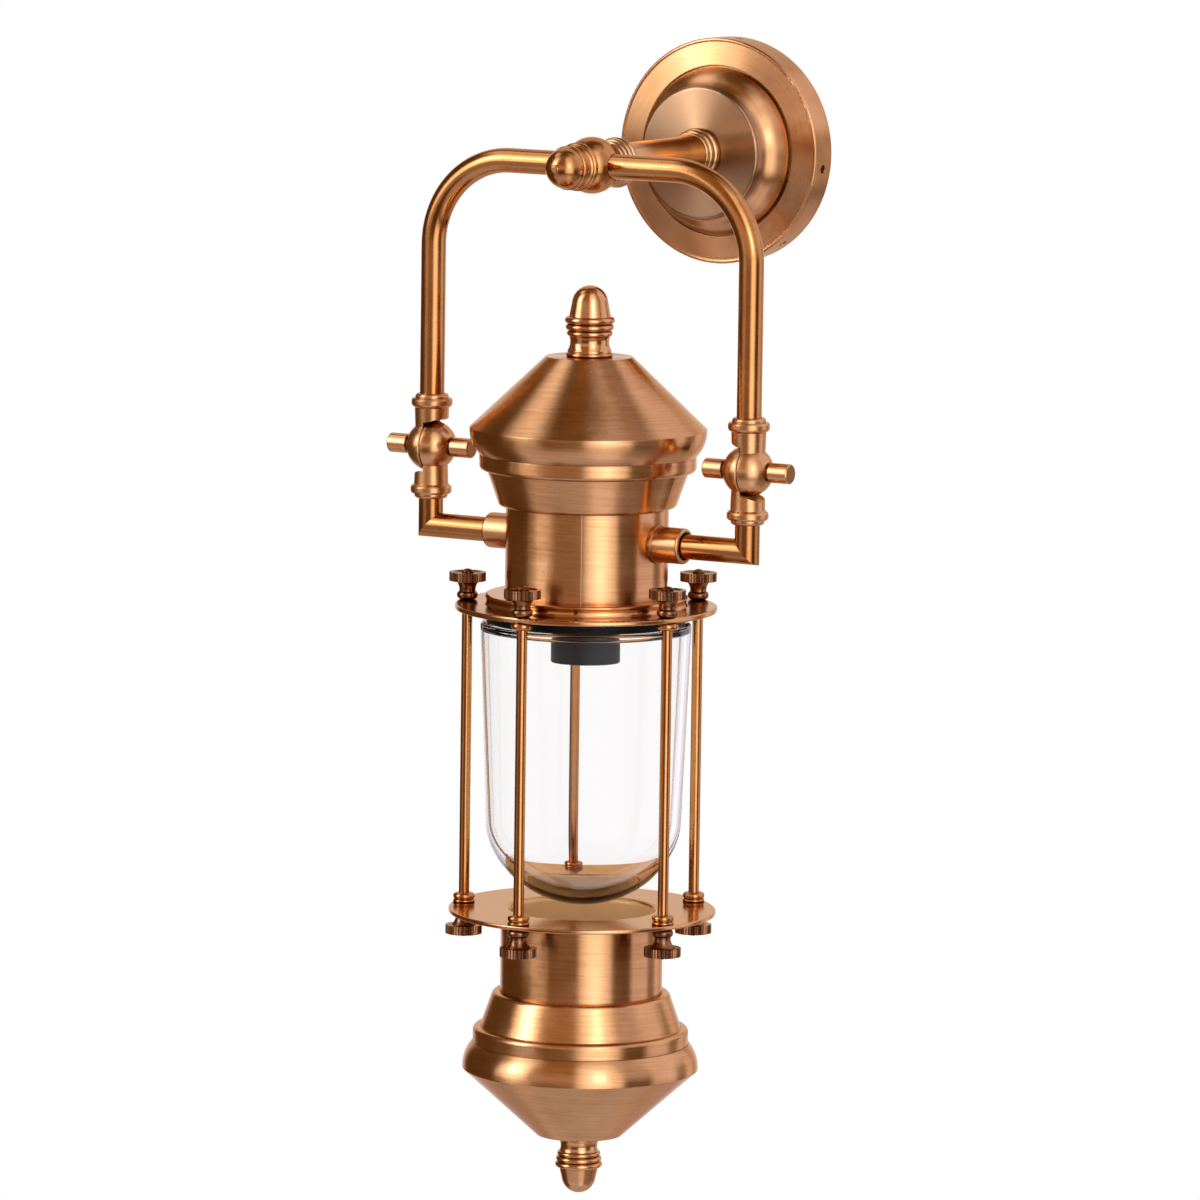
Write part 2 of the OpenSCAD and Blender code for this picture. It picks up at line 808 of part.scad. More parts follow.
// Elbow pipe, whose thread runs through the boss into the neck
module elbow(side) {
    color(brass) at_knuckle(side) difference() {
        union() {
            mitred_rod(tube_r, knuckle_x - pipe_end);
            translate([elbow_thread_end - knuckle_x, 0, -elbow_drop]) rotate([0, 90, 0])
                cylinder(h = pipe_end - elbow_thread_end + cut, r = nipple_r);
        }
        mitred_rod(nipple_bore_r, knuckle_x);
        translate([0, 0, -elbow_drop]) cylinder(h = elbow_drop, r = nipple_bore_r);
    }
}

module elbow_left() {
    elbow(-1);
}

module elbow_right() {
    elbow(1);
}

module elbow_bosses() {
    color(brass) for (side = [-1, 1]) at_knuckle(side) translate([-knuckle_x, 0, -elbow_drop]) difference() {
        rotate([0, 90, 0]) rotate_extrude() difference() {
            union() {
                translate([0, neck_r - 4]) square([boss_r + 0.7, 5.6]);
                translate([0, neck_r - 4]) square([boss_r, boss_end - 1.6 - neck_r + 4]);
                bead_2d(boss_r, boss_end - 3.2, boss_end);
            }
            translate([0, neck_r - 5]) square([nipple_r + seat_gap, boss_end]);
            translate([0, pipe_end]) square([tube_r + seat_gap, boss_end]);
            polygon([[0, boss_end - 2], [tube_r + seat_gap, boss_end - 2], [tube_r + 1, boss_end - 1],
                [tube_r + 1, boss_end + cut], [0, boss_end + cut]]);
        }
        translate([0, 0, -boss_end]) cylinder(h = 2 * boss_end, r = neck_r + seat_gap);
    }
}

// Lock nuts of the two elbows and of the lamp holder
module lock_nuts() {
    color(dark_brass) in_lantern() {
        for (side = [0, 180]) rotate([0, 0, side]) translate([lock_face - lock_h, 0, -elbow_drop])
            rotate([0, 90, 0]) lock_nut();
        translate([0, 0, holder_top + strap_t]) lock_nut();
    }
}

// Roof and its repeat at the foot

// Turned finial: foot, hollow waist, three rings and a tapered dome. h and r are its height and largest radius.
module finial(h, r) {
    k = h / 40;
    g = r / 14.1;
    tip_r = 10.2 * g;
    base = [11.75 * g, 22.4 * k];
    centre = [0, h - tip_r];
    meet = touch(centre, tip_r, base, 1);
    difference() {
        rotate_extrude() {
            bead_2d(13.3 * g, 0, 2.4 * k);
            bead_2d(12.4 * g, 2.2 * k, 4.2 * k);
            difference() {
                translate([0, 1.2 * k]) square([12.4 * g, 13 * k]);
                translate([11 * g + 8.5 * k, 8.2 * k]) circle(8.5 * k);
                translate([12 * g, 11.6 * k]) square([2, 4 * k]);
            }
            bead_2d(12.9 * g, 11.4 * k, 14.8 * k);
            bead_2d(13.6 * g, 14.8 * k, 18.5 * k);
            bead_2d(r, 18.5 * k, 22.5 * k);
            intersection() {
                translate(centre) circle(tip_r);
                translate([0, meet[1]]) square([2 * tip_r, h]);
            }
            polygon([[0, base[1] - 1], [base[0], base[1] - 1], base, meet, [0, meet[1] + 1]]);
        }
        translate([0, 0, -cut]) cylinder(h = bolt_grip + 1 + cut, r = bolt_r + seat_gap);
    }
}

module roof_finial() {
    color(polished) in_lantern() translate([0, 0, roof_z + roof_h]) finial(finial_h, finial_d / 2);
}

module bottom_finial() {
    color(polished) in_lantern() turned_over() translate([0, 0, roof_z + foot_h]) finial(pendant_h, pendant_d / 2);
}

// Solid outline of a cone with its curved rim, set in by a sheet's thickness for the hollow
module cone_solid_2d(rise, inset) {
    slope = atan(rise / (roof_r - flat_r));
    top = roof_z + rise - inset;
    polygon([[0, seam_z], [bulge_x, seam_z], [bulge_x, roof_z], [roof_r - inset / sin(slope), roof_z],
        [flat_r - inset * tan(slope / 2), top], [0, top]]);
    intersection() {
        translate([bulge_x, roof_z - bulge_top]) circle(bulge_r - inset);
        translate([0, seam_z]) square([2 * roof_r, rim_h]);
    }
}

module cone(rise) {
    difference() {
        rotate_extrude() {
            difference() {
                cone_solid_2d(rise, 0);
                difference() {
                    cone_solid_2d(rise, sheet);
                    square([2 * roof_r, seam_z + lip_t]);
                }
                translate([0, seam_z - cut]) square([lip_r, cut + lip_t + 0.1]);
            }
        }
        cylinder(h = roof_z + rise + cut, r = bolt_r + 0.2);
    }
}

module roof_cone() {
    color(brass) in_lantern() cone(roof_h);
}

module lower_cone() {
    color(brass) in_lantern() turned_over() cone(foot_h);
}

// Solid outline of a cowl: band, rounded step and tapered skirt
module cowl_solid_2d(inset) {
    step_z = seam_z - band_h;
    top = seam_z - inset;
    centre = [skirt_low_r - skirt_round, skirt_z + skirt_round];
    from = [skirt_top_r - inset, step_z + 1];
    round_r = skirt_round - inset;
    meet = touch(centre, round_r, from, -1);
    translate([0, step_z + band_round]) square([band_r - inset, top - step_z - band_round]);
    translate([band_r - band_round, step_z + band_round]) circle(band_round - inset);
    translate([0, step_z + inset]) square([band_r - band_round, band_round]);
    polygon([[0, skirt_z + inset], [centre[0], skirt_z + inset], centre, meet, from, [from[0], step_z + band_round],
        [0, step_z + band_round]]);
    translate(centre) circle(round_r);
}

module cowl() {
    rotate_extrude() difference() {
        cowl_solid_2d(0);
        cowl_solid_2d(sheet);
        translate([0, seam_z - 2 * lip_t]) square([lip_r, 3 * lip_t]);
        translate([0, skirt_z - cut]) square([neck_r + seat_gap, cut + 2 * sheet]);
    }
}

module roof_cowl() {
    color(brass) in_lantern() cowl();
}

module lower_cowl() {
    color(brass) in_lantern() turned_over() cowl();
}

// Bars through the two tubes, which carry the cowls and take the finial bolts
module bridge_bar() {
    translate([0, 0, bar_z]) difference() {
        intersection() {
            cylinder(h = bar_t, r = bar_r);
            translate([-bar_r, -bar_w / 2, 0]) cube([2 * bar_r, bar_w, bar_t]);
        }
        translate([0, 0, -cut]) cylinder(h = bar_t + 2 * cut, r = bolt_r + 0.1);
    }
}

module bridge_bars() {
    color("silver") in_lantern() {
        bridge_bar();
        turned_over() bridge_bar();
    }
}

module finial_bolt(rise) {
    translate([0, 0, bar_z - bolt_head_h]) hexagon(bolt_across, bolt_head_h);
    translate([0, 0, bar_z - 1]) cylinder(h = roof_z + rise + bolt_grip - bar_z + 1, r = bolt_r);
}

module finial_bolts() {
    color("silver") in_lantern() {
        finial_bolt(roof_h);
        turned_over() finial_bolt(foot_h);
    }
}

// Neck, flange and top plate

module bar_window() {
    translate([-neck_r - cut, -bar_w / 2 - seat_gap, bar_z - seat_gap])
        cube([2 * (neck_r + cut), bar_w + 2 * seat_gap, bar_t + 2 * seat_gap]);
}

module neck_tube() {
    color(brass) in_lantern() difference() {
        translate([0, 0, -neck_len]) cylinder(h = neck_len + neck_top, r = neck_r);
        translate([0, 0, -neck_len - cut]) cylinder(h = neck_len + neck_top + 2 * cut, r = neck_r - sheet);
        translate([-neck_r - cut, 0, -elbow_drop]) rotate([0, 90, 0])
            cylinder(h = 2 * (neck_r + cut), r = nipple_r + seat_gap);
        bar_window();
    }
}

module neck_flange() {
    cove = 4;
    color(polished) in_lantern() difference() {
        translate([0, 0, -neck_len]) rotate_extrude() difference() {
            union() {
                square([flange_r, flange_h - 1.4]);
                bead_2d(flange_r, flange_h - 2.8, flange_h);
            }
            translate([0, -cut]) square([neck_r + seat_gap, flange_h + 2 * cut]);
            translate([0, -cut]) square([spigot_r + 0.2, flange_h - flange_lid + cut]);
            translate([flange_r + cove - 0.7, flange_h / 2 - 0.6]) circle(cove);
        }
        for (k = [0 : 2]) rotate([0, 0, set_screw_angle + 120 * k]) translate([spigot_r - 1, 0, set_screw_z])
            rotate([0, 90, 0]) cylinder(h = flange_r, r = set_screw_r + seat_gap);
    }
}

// Headless screws that clamp the flange on the top plate's ring
module flange_screws() {
    color(dark_brass) in_lantern() for (k = [0 : 2]) rotate([0, 0, set_screw_angle + 120 * k])
        translate([flange_r - 1.1, 0, set_screw_z]) rotate([0, -90, 0]) difference() {
            cylinder(h = flange_r - 1.1 - spigot_r, r = set_screw_r);
            translate([0, 0, -cut]) hexagon(2 * set_screw_r * socket_share, socket_depth + cut);
        }
}

module top_plate() {
    color(polished) in_lantern() difference() {
        union() {
            translate([0, 0, top_plate_z]) rotate_extrude() plate_2d(plate_r, top_plate_t, plate_round);
            translate([0, 0, top_plate_z]) difference() {
                cylinder(h = top_plate_t + flange_h - flange_lid - 0.2, r = spigot_r);
                translate([0, 0, top_plate_t]) cylinder(h = flange_h, r = spigot_r - spigot_wall);
            }
        }
        translate([0, 0, top_plate_z - cut]) cylinder(h = top_plate_t + 2 * cut, r = cord_hole_r);
        translate([0, 0, top_plate_z - cut]) at_rods() cylinder(h = top_plate_t + 2 * cut, r = rod_thread_r + rod_hole_gap);
        translate([0, 0, top_plate_z]) at_ring_screws() translate([0, 0, -cut])
            cylinder(h = top_plate_t - 0.5 + cut, r = small_screw_r + seat_gap);
        for (side = [-1, 1]) translate([side * strap_screw_x, 0, top_plate_z + 0.5])
            cylinder(h = top_plate_t, r = small_screw_r + seat_gap);
    }
}

module at_ring_screws() {
    for (k = [0 : ring_screw_count - 1]) rotate([0, 0, ring_screw_angle + k * 360 / ring_screw_count])
        translate([ring_screw_circle, 0, 0]) children();
}

module small_screw(len) {
    cylinder(h = len, r = small_screw_r);
    rotate_extrude() polygon([[0, 0], [small_head_r, 0], [small_screw_r, small_head_h], [0, small_head_h]]);
}

// Countersunk screws of the clamp ring and of the lamp holder's strap
module plate_screws() {
    color(dark_brass) in_lantern() {
        translate([0, 0, ring_z]) at_ring_screws() small_screw(ring_h + top_plate_t - 1);
        for (side = [-1, 1]) translate([side * strap_screw_x, 0, -neck_len + strap_t]) mirror([0, 0, 1])
            small_screw(strap_t + top_plate_t - 1);
    }
}

// Clamp ring, glass and lamp holder

module screw_seat() {
    translate([0, 0, -cut]) cylinder(h = cut, r = small_head_r + seat_gap);
    rotate_extrude() polygon([[0, 0], [small_head_r + seat_gap, 0], [small_screw_r + seat_gap, small_head_h],
        [small_screw_r + seat_gap, ring_h + cut], [0, ring_h + cut]]);
}

module clamp_ring() {
    color(black) in_lantern() translate([0, 0, ring_z]) difference() {
        rotate_extrude() translate([glass_neck_r + seat_gap, 0]) square([ring_r - glass_neck_r - seat_gap, ring_h]);
        at_ring_screws() screw_seat();
    }
}

module glass_gasket() {
    color(black) in_lantern() translate([0, 0, shoulder_z]) rotate_extrude()
        translate([glass_neck_r + seat_gap, 0]) square([ring_r - glass_neck_r - seat_gap, gasket_t]);
}

// Outline of the round bottom: a corner arc that runs on into a flatter arc with its lowest point at glass_dome_h
module bowl_2d(inset) {
    offset_x = glass_low_r - bowl_round;
    rise = glass_dome_h - bowl_round;
    big_r = bowl_round + (offset_x * offset_x + rise * rise) / (2 * rise);
    centre_z = big_r - glass_dome_h;
    meet_z = centre_z - (big_r) * centre_z / norm([offset_x, centre_z]);
    intersection() {
        translate([0, centre_z]) circle(big_r - inset);
        translate([0, -glass_dome_h - cut]) square([glass_low_r, glass_dome_h + cut + meet_z]);
    }
    intersection() {
        translate([offset_x, 0]) circle(bowl_round - inset);
        translate([offset_x, -glass_dome_h]) square([bowl_round, glass_dome_h]);
    }
    translate([0, meet_z - cut]) square([offset_x + cut, cut - meet_z]);
}

// Solid outline of the jar, set in by the glass's thickness for the hollow
module jar_solid_2d(inset, corner) {
    top_r = glass_r - inset;
    top_z = shoulder_z - inset;
    low_r = glass_low_r - inset;
    centre = [top_r - corner, top_z - corner];
    meet = touch(centre, corner, [low_r, glass_low_z], 1);
    translate([0, glass_low_z]) bowl_2d(inset);
    polygon([[0, glass_low_z], [low_r, glass_low_z], meet, centre, [centre[0], top_z], [0, top_z]]);
    translate(centre) circle(corner);
}

module glass_jar() {
    color("lightblue", 0.4) in_lantern() rotate_extrude() difference() {
        union() {
            jar_solid_2d(0, glass_corner);
            translate([0, shoulder_z - cut]) square([glass_neck_r, glass_neck_top - shoulder_z + cut]);
        }
        jar_solid_2d(glass_wall, glass_corner / 2);
        translate([0, shoulder_z - 2 * glass_wall]) square([glass_neck_r - glass_wall, 4 * glass_wall + ring_h]);
    }
}

module lamp_holder() {
    color(black) in_lantern() difference() {
        union() {
            translate([0, 0, holder_z]) rotate_extrude() {
                bead_2d(holder_r, 0, 2);
                translate([0, 1]) square([holder_r, holder_skirt_h - 2]);
                bead_2d(holder_r, holder_skirt_h - 2, holder_skirt_h);
                square([holder_body_r, holder_top - holder_z - holder_cap_h]);
                polygon([[0, 0], [holder_body_r, holder_top - holder_z - holder_cap_h],
                    [holder_body_r - 4, holder_top - holder_z], [0, holder_top - holder_z]]);
            }
            translate([0, 0, holder_top - 1]) cylinder(h = stem_len + 1, r = nipple_r);
        }
        translate([0, 0, holder_z - cut]) cylinder(h = shell_inset + shell_len + cut, r = shell_r + shell_wall + seat_gap);
        translate([0, 0, holder_z + shell_inset + shell_len + contact_h]) cylinder(h = holder_drop + neck_len, r = nipple_bore_r);
        translate([0, 0, holder_z]) cylinder(h = shell_inset + shell_len + contact_h, r = contact_r + seat_gap);
    }
}

// Brass thread shell, plain inside, with a bottom that the contact passes
module screw_shell() {
    color(polished) in_lantern() translate([0, 0, holder_z + shell_inset]) difference() {
        cylinder(h = shell_len, r = shell_r + shell_wall);
        translate([0, 0, -cut]) cylinder(h = shell_len - shell_wall + cut, r = shell_r);
        cylinder(h = shell_len + cut, r = contact_r + 1);
    }
}

// Contact, whose face is level with the shell's floor
module holder_contact() {
    color(polished) in_lantern() translate([0, 0, holder_z + shell_inset + shell_len - shell_wall])
        cylinder(h = contact_h + shell_wall, r = contact_r);
}

module holder_strap() {
    foot_len = strap_foot - strap_x;
    top = holder_top + strap_t;
    color("silver") in_lantern() difference() {
        union() {
            translate([-strap_x, -strap_w / 2, holder_top]) cube([2 * strap_x, strap_w, strap_t]);
            for (side = [-1, 1]) {
                translate([side > 0 ? strap_x - strap_t : -strap_x, -strap_w / 2, -neck_len])
                    cube([strap_t, strap_w, top + neck_len]);
                translate([side > 0 ? strap_x - strap_t : -strap_foot, -strap_w / 2, -neck_len])
                    cube([foot_len + strap_t, strap_w, strap_t]);
            }
        }
        cylinder(h = -2 * holder_top, r = nipple_r + seat_gap, center = true);
        for (side = [-1, 1]) translate([side * strap_screw_x, 0, -neck_len + strap_t]) mirror([0, 0, 1]) screw_seat();
    }
}

// Cage of rods and nuts

// Turned collar under the top plate: one rounded bead that runs into the rod
module top_bead() {
    rotate_extrude() {
        bead_2d(bead_r, 0, bead_h - 0.4);
        square([bead_r - 2.6, bead_h]);
    }
}

// Turned collar on the bottom plate: a low ring under a rounded bead
module foot_bead() {
    rotate_extrude() {
        bead_2d(bead_r, 0, 1.6);
        square([bead_r - 0.9, 2.4]);
        bead_2d(bead_r - 0.1, 1.4, bead_h + 1);
    }
}

module tie_rods() {
    lower_end = lower_face_z - rod_thread_len;
    color(brass) in_lantern() at_rods() {
        translate([0, 0, bottom_plate_z]) cylinder(h = cage_h, d = rod_d);
        translate([0, 0, bottom_plate_z]) foot_bead();
        translate([0, 0, top_plate_z]) mirror([0, 0, 1]) top_bead();
        translate([0, 0, lower_end]) cylinder(h = -neck_len + rod_thread_len - lower_end, r = rod_thread_r);
    }
}

module knurl_2d() {
    polygon([for (i = [0 : 2 * knurl_count - 1]) let (r = thumb_r - (i % 2) * knurl_depth, a = i * 180 / knurl_count)
        [r * cos(a), r * sin(a)]]);
}

// Thumb nut standing on a plate: foot bead, hollow waist, knurled head with a dished top and a small dome
module thumb_nut() {
    head_z = thumb_h - thumb_head_h;
    flare_z = thumb_bead_h + 0.5;
    flare_w = thumb_flare_r - thumb_waist_r;
    flare_cut = (pow(flare_w, 2) + pow(head_z - flare_z, 2)) / (2 * flare_w);
    difference() {
        union() {
            rotate_extrude() {
                bead_2d(thumb_bead_r, 0, thumb_bead_h);
                difference() {
                    translate([0, thumb_bead_h / 2]) square([thumb_flare_r, head_z - thumb_bead_h / 2 + 0.5]);
                    translate([thumb_waist_r + flare_cut, flare_z]) circle(flare_cut);
                    translate([thumb_waist_r + 0.1, 0]) square([thumb_flare_r, flare_z]);
                }
                intersection() {
                    translate([0, thumb_h + thumb_dome_h - thumb_dome_r * 1.3]) circle(thumb_dome_r * 1.3);
                    translate([0, thumb_h - 2]) square([thumb_dome_r, 4]);
                }
            }
            difference() {
                translate([0, 0, head_z]) linear_extrude(height = thumb_head_h) knurl_2d();
                rotate_extrude() polygon([[0, thumb_h - 0.7], [thumb_r - 3.6, thumb_h - 0.7], [thumb_r - 1.6, thumb_h + 0.01],
                    [thumb_r - 1.6, thumb_h + cut], [0, thumb_h + cut]]);
            }
        }
        translate([0, 0, -cut]) cylinder(h = thumb_bore + cut, r = rod_thread_r + turn_gap);
    }
}

module upper_thumb_nut(k) {
    color(dark_brass) in_lantern() at_rod(k) translate([0, 0, -neck_len + nut_gap]) thumb_nut();
}

module lower_thumb_nut(k) {
    color(dark_brass) in_lantern() at_rod(k) translate([0, 0, lower_face_z - nut_gap]) mirror([0, 0, 1]) thumb_nut();
}

// Foot

module bottom_plate() {
    t = bottom_plate_t;
    color(polished) in_lantern() translate([0, 0, bottom_plate_z]) difference() {
        rotate_extrude() {
            translate([0, -t]) difference() {
                plate_2d(bottom_plate_r, t, plate_round);
                square([mouth_r + mouth_round, t]);
            }
            intersection() {
                translate([mouth_r + mouth_round, -mouth_round]) circle(mouth_round);
                translate([mouth_r, -mouth_round]) square([mouth_round, mouth_round]);
            }
            translate([mouth_r, -mouth_lip]) square([sheet, mouth_lip - mouth_round + 0.01]);
        }
        translate([0, 0, -t - cut]) at_rods() cylinder(h = t + 2 * cut, r = rod_thread_r + rod_hole_gap);
    }
}

module lower_tube() {
    color(brass) in_lantern() difference() {
        translate([0, 0, lower_tube_bottom]) cylinder(h = lower_face_z - lower_tube_bottom, r = neck_r);
        translate([0, 0, lower_tube_bottom - cut])
            cylinder(h = lower_face_z - lower_tube_bottom + 2 * cut, r = neck_r - sheet);
        turned_over() bar_window();
    }
}

rose_cover();
rose_bracket();
rose_screws();
terminal_block();
arm_collar();
arm_tube();
arm_nipple();
arm_lock_nut();
bead_coupling();
yoke_hub();
nose_finial();
yoke_tube_left();
yoke_tube_right();
upper_knuckle_left();
upper_knuckle_right();
lower_knuckle_left();
lower_knuckle_right();
pivot_stud_left();
pivot_stud_right();
barrel_nut_left_outer();
barrel_nut_left_inner();
barrel_nut_right_inner();
barrel_nut_right_outer();
elbow_left();
elbow_right();
elbow_bosses();
lock_nuts();
roof_finial();
roof_cone();
roof_cowl();
bridge_bars();
finial_bolts();
neck_tube();
neck_flange();
flange_screws();
top_plate();
plate_screws();
clamp_ring();
glass_gasket();
glass_jar();
lamp_holder();
screw_shell();
holder_contact();
holder_strap();
tie_rods();
upper_thumb_nut(0);  // upper_thumb_nut_1
upper_thumb_nut(1);  // upper_thumb_nut_2
upper_thumb_nut(2);  // upper_thumb_nut_3
upper_thumb_nut(3);  // upper_thumb_nut_4
upper_thumb_nut(4);  // upper_thumb_nut_5
lower_thumb_nut(0);  // lower_thumb_nut_1
lower_thumb_nut(1);  // lower_thumb_nut_2
lower_thumb_nut(2);  // lower_thumb_nut_3
lower_thumb_nut(3);  // lower_thumb_nut_4
lower_thumb_nut(4);  // lower_thumb_nut_5
bottom_plate();
lower_tube();
lower_cowl();
lower_cone();
bottom_finial();
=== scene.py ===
"""Looks of an outdoor wall light in antique brass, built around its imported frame."""

import json

import bpy
from math import atan2, cos, degrees, pi, radians, sin, tan
from mathutils import Matrix, Vector


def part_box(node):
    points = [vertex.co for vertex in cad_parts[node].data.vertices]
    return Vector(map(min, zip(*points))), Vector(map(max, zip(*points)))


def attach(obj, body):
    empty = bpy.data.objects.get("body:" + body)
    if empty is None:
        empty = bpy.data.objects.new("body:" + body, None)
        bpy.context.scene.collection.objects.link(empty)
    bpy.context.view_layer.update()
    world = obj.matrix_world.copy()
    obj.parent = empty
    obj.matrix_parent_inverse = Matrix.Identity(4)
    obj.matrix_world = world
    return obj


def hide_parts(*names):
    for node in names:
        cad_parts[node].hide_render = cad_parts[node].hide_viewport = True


bl_info = {
    "name": "Outdoor wall light",
    "version": (1, 0, 0),
    "blender": (4, 5, 0),
    "location": "View3D > Sidebar > Wall light",
    "description": "Finishes, fine pieces and a studio stage for an outdoor wall light",
    "category": "Object",
}

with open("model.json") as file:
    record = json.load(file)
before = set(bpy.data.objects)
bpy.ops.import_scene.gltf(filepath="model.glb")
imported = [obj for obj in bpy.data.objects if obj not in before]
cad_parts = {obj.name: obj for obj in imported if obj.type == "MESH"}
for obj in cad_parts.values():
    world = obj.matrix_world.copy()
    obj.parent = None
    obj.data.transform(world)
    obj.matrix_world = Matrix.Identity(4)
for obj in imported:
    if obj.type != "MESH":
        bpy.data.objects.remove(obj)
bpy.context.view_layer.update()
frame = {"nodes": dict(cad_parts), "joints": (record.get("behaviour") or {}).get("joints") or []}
NODES = frame["nodes"]
MM = 0.001

# Axis of the lantern and height of its tilt axis, read from the joint
TILT = next(j for j in frame["joints"] if j["name"] == "lantern_tilt")
LANTERN_AXIS = Vector((TILT["pos_m"][0], TILT["pos_m"][1], 0))


# Colours and nodes


def linear(hex_code):
    """sRGB hex to a linear colour with full alpha."""
    levels = [int(hex_code[i:i + 2], 16) / 255 for i in (1, 3, 5)]
    return [v / 12.92 if v <= 0.04045 else ((v + 0.055) / 1.055) ** 2.4 for v in levels] + [1.0]


def node(tree, kind, inputs=None, **settings):
    """Adds a node. inputs maps a socket to a value or to the output that feeds it."""
    made = tree.nodes.new(kind)
    for name, value in settings.items():
        setattr(made, name, value)
    for name, value in (inputs or {}).items():
        socket = made.inputs[name]
        if isinstance(value, bpy.types.NodeSocket):
            tree.links.new(value, socket)
        else:
            socket.default_value = value
    return made


def new_material(name):
    made = bpy.data.materials.new(name)
    made.use_nodes = True
    made.node_tree.nodes.clear()
    return made, made.node_tree


def ramp(tree, fac, stops):
    """Colour ramp from (position, hex or level) stops."""
    made = node(tree, "ShaderNodeValToRGB", {"Fac": fac})
    elements = made.color_ramp.elements
    while len(elements) < len(stops):
        elements.new(0.5)
    for element, (position, level) in zip(elements, stops):
        element.position = position
        element.color = linear(level) if isinstance(level, str) else (level, level, level, 1)
    return made.outputs["Color"]


def finish(tree, shader):
    node(tree, "ShaderNodeOutputMaterial", {"Surface": shader.outputs[0]})


def turned_brass(name, tones, roughness, spacing_mm, depth_mm, centre=(0, 0, 0), axis="Z", grime=0.5, stretch=0.0,
                 edge_mm=0.5, middle=None, seam=None, specks=False, crown=0):
    """Brass turned or brushed round an axis and lacquered, darkened in its corners and gaps by painted shade, which
    stands
    also for patina: fine grooves run round it, and wide soft patches vary its tone. Coarse brushing spreads a highlight
    across the grooves by stretch, into a long band.
    middle (radius, colour, metal, roughness) is a round place inside that radius with a finish of its own, seam the
    degrees round the axis where a sheet was joined, along which a pale line is painted as a highlight on the seam,
    specks are small pale spots where the lacquer is chipped, and crown is how many degrees a spun face falls away from
    the axis."""
    material, tree = new_material(name)
    coordinates = node(tree, "ShaderNodeTexCoord").outputs["Object"]
    turn = {"Z": (0, 0, 0), "Y": (radians(90), 0, 0), "X": (0, radians(90), 0)}[axis]
    moved = node(tree, "ShaderNodeVectorMath", {0: coordinates, 1: centre}, operation="SUBTRACT")
    local = node(tree, "ShaderNodeVectorRotate", {"Vector": moved.outputs[0], "Rotation": turn},
                 rotation_type="EULER_XYZ").outputs[0]
    parts = node(tree, "ShaderNodeSeparateXYZ", {0: local})
    flat = node(tree, "ShaderNodeCombineXYZ", {"X": parts.outputs["X"], "Y": parts.outputs["Y"]})
    radius = node(tree, "ShaderNodeVectorMath", {0: flat.outputs[0]}, operation="LENGTH")
    # Along the profile: radius and height together, so flat faces and walls both get grooves
    profile = node(tree, "ShaderNodeCombineXYZ", {"X": radius.outputs["Value"], "Y": parts.outputs["Z"]})
    around = node(tree, "ShaderNodeVectorMath", {0: local, 1: (0.06, 0.06, 0.0)}, operation="MULTIPLY")
    path = node(tree, "ShaderNodeVectorMath", {0: profile.outputs[0], 1: around.outputs[0]}, operation="ADD")
    grooves = node(tree, "ShaderNodeTexNoise", {"Vector": path.outputs[0], "Scale": 1 / (spacing_mm * MM * 2),
                                                "Detail": 3.0, "Roughness": 0.6})
    patches = node(tree, "ShaderNodeTexNoise", {"Vector": local, "Scale": 38.0, "Detail": 4.0, "Roughness": 0.55})
    tone = node(tree, "ShaderNodeMix", {0: grime, 6: grooves.outputs[0], 7: patches.outputs[0]}, data_type="RGBA")
    unshaded_tone = ramp(tree, tone.outputs[2], [(0.3, tones[0]), (0.5, tones[1]), (0.72, tones[2])])
    # Painted shade, standing also for patina, darkens corners and gaps within about 4 mm
    open_sky = node(tree, "ShaderNodeAmbientOcclusion", {"Distance": 4 * MM}, samples=6).outputs["AO"]
    patina_and_shade = node(tree, "ShaderNodeMapRange", {0: open_sky, 1: 0.12, 2: 0.62}).outputs[0]
    colour = node(tree, "ShaderNodeMix", {0: patina_and_shade, 6: linear("#3c2311"), 7: unshaded_tone}, data_type="RGBA").outputs[2]
    if specks:
        spots = node(tree, "ShaderNodeTexVoronoi", {"Vector": local, "Scale": 75.0}).outputs["Distance"]
        spots = node(tree, "ShaderNodeMath", {0: spots, 1: 0.026}, operation="LESS_THAN").outputs[0]
        colour = node(tree, "ShaderNodeMix", {0: spots, 6: colour, 7: linear("#f0dcc0")}, data_type="RGBA").outputs[2]
    # A pale line painted along the seam: a painted highlight on the seam's edge
    if seam is not None:
        front = node(tree, "ShaderNodeMath", {0: parts.outputs["Y"], 1: -1.0}, operation="MULTIPLY").outputs[0]
        turned_by = node(tree, "ShaderNodeMath", {0: parts.outputs["X"], 1: front}, operation="ARCTAN2").outputs[0]
        joint = node(tree, "ShaderNodeMath", {0: turned_by, 1: radians(seam), 2: 0.006}, operation="COMPARE").outputs[0]
        colour = node(tree, "ShaderNodeMix", {0: joint, 6: colour, 7: linear("#f3d6ac")}, data_type="RGBA").outputs[2]
    rough = node(tree, "ShaderNodeMapRange", {0: patches.outputs[0], 1: 0.3, 2: 0.7, 3: roughness * 0.85, 4: roughness * 1.2})
    height = node(tree, "ShaderNodeMath", {0: radius.outputs["Value"], 1: -tan(radians(crown)) / (depth_mm * MM),
                                           2: grooves.outputs[0]}, operation="MULTIPLY_ADD")
    bump = node(tree, "ShaderNodeBump", {"Height": height.outputs[0], "Strength": 1.0, "Distance": depth_mm * MM})
    if edge_mm:
        edge = node(tree, "ShaderNodeBevel", {"Radius": edge_mm * MM}, samples=4)
        tree.links.new(edge.outputs[0], bump.inputs["Normal"])
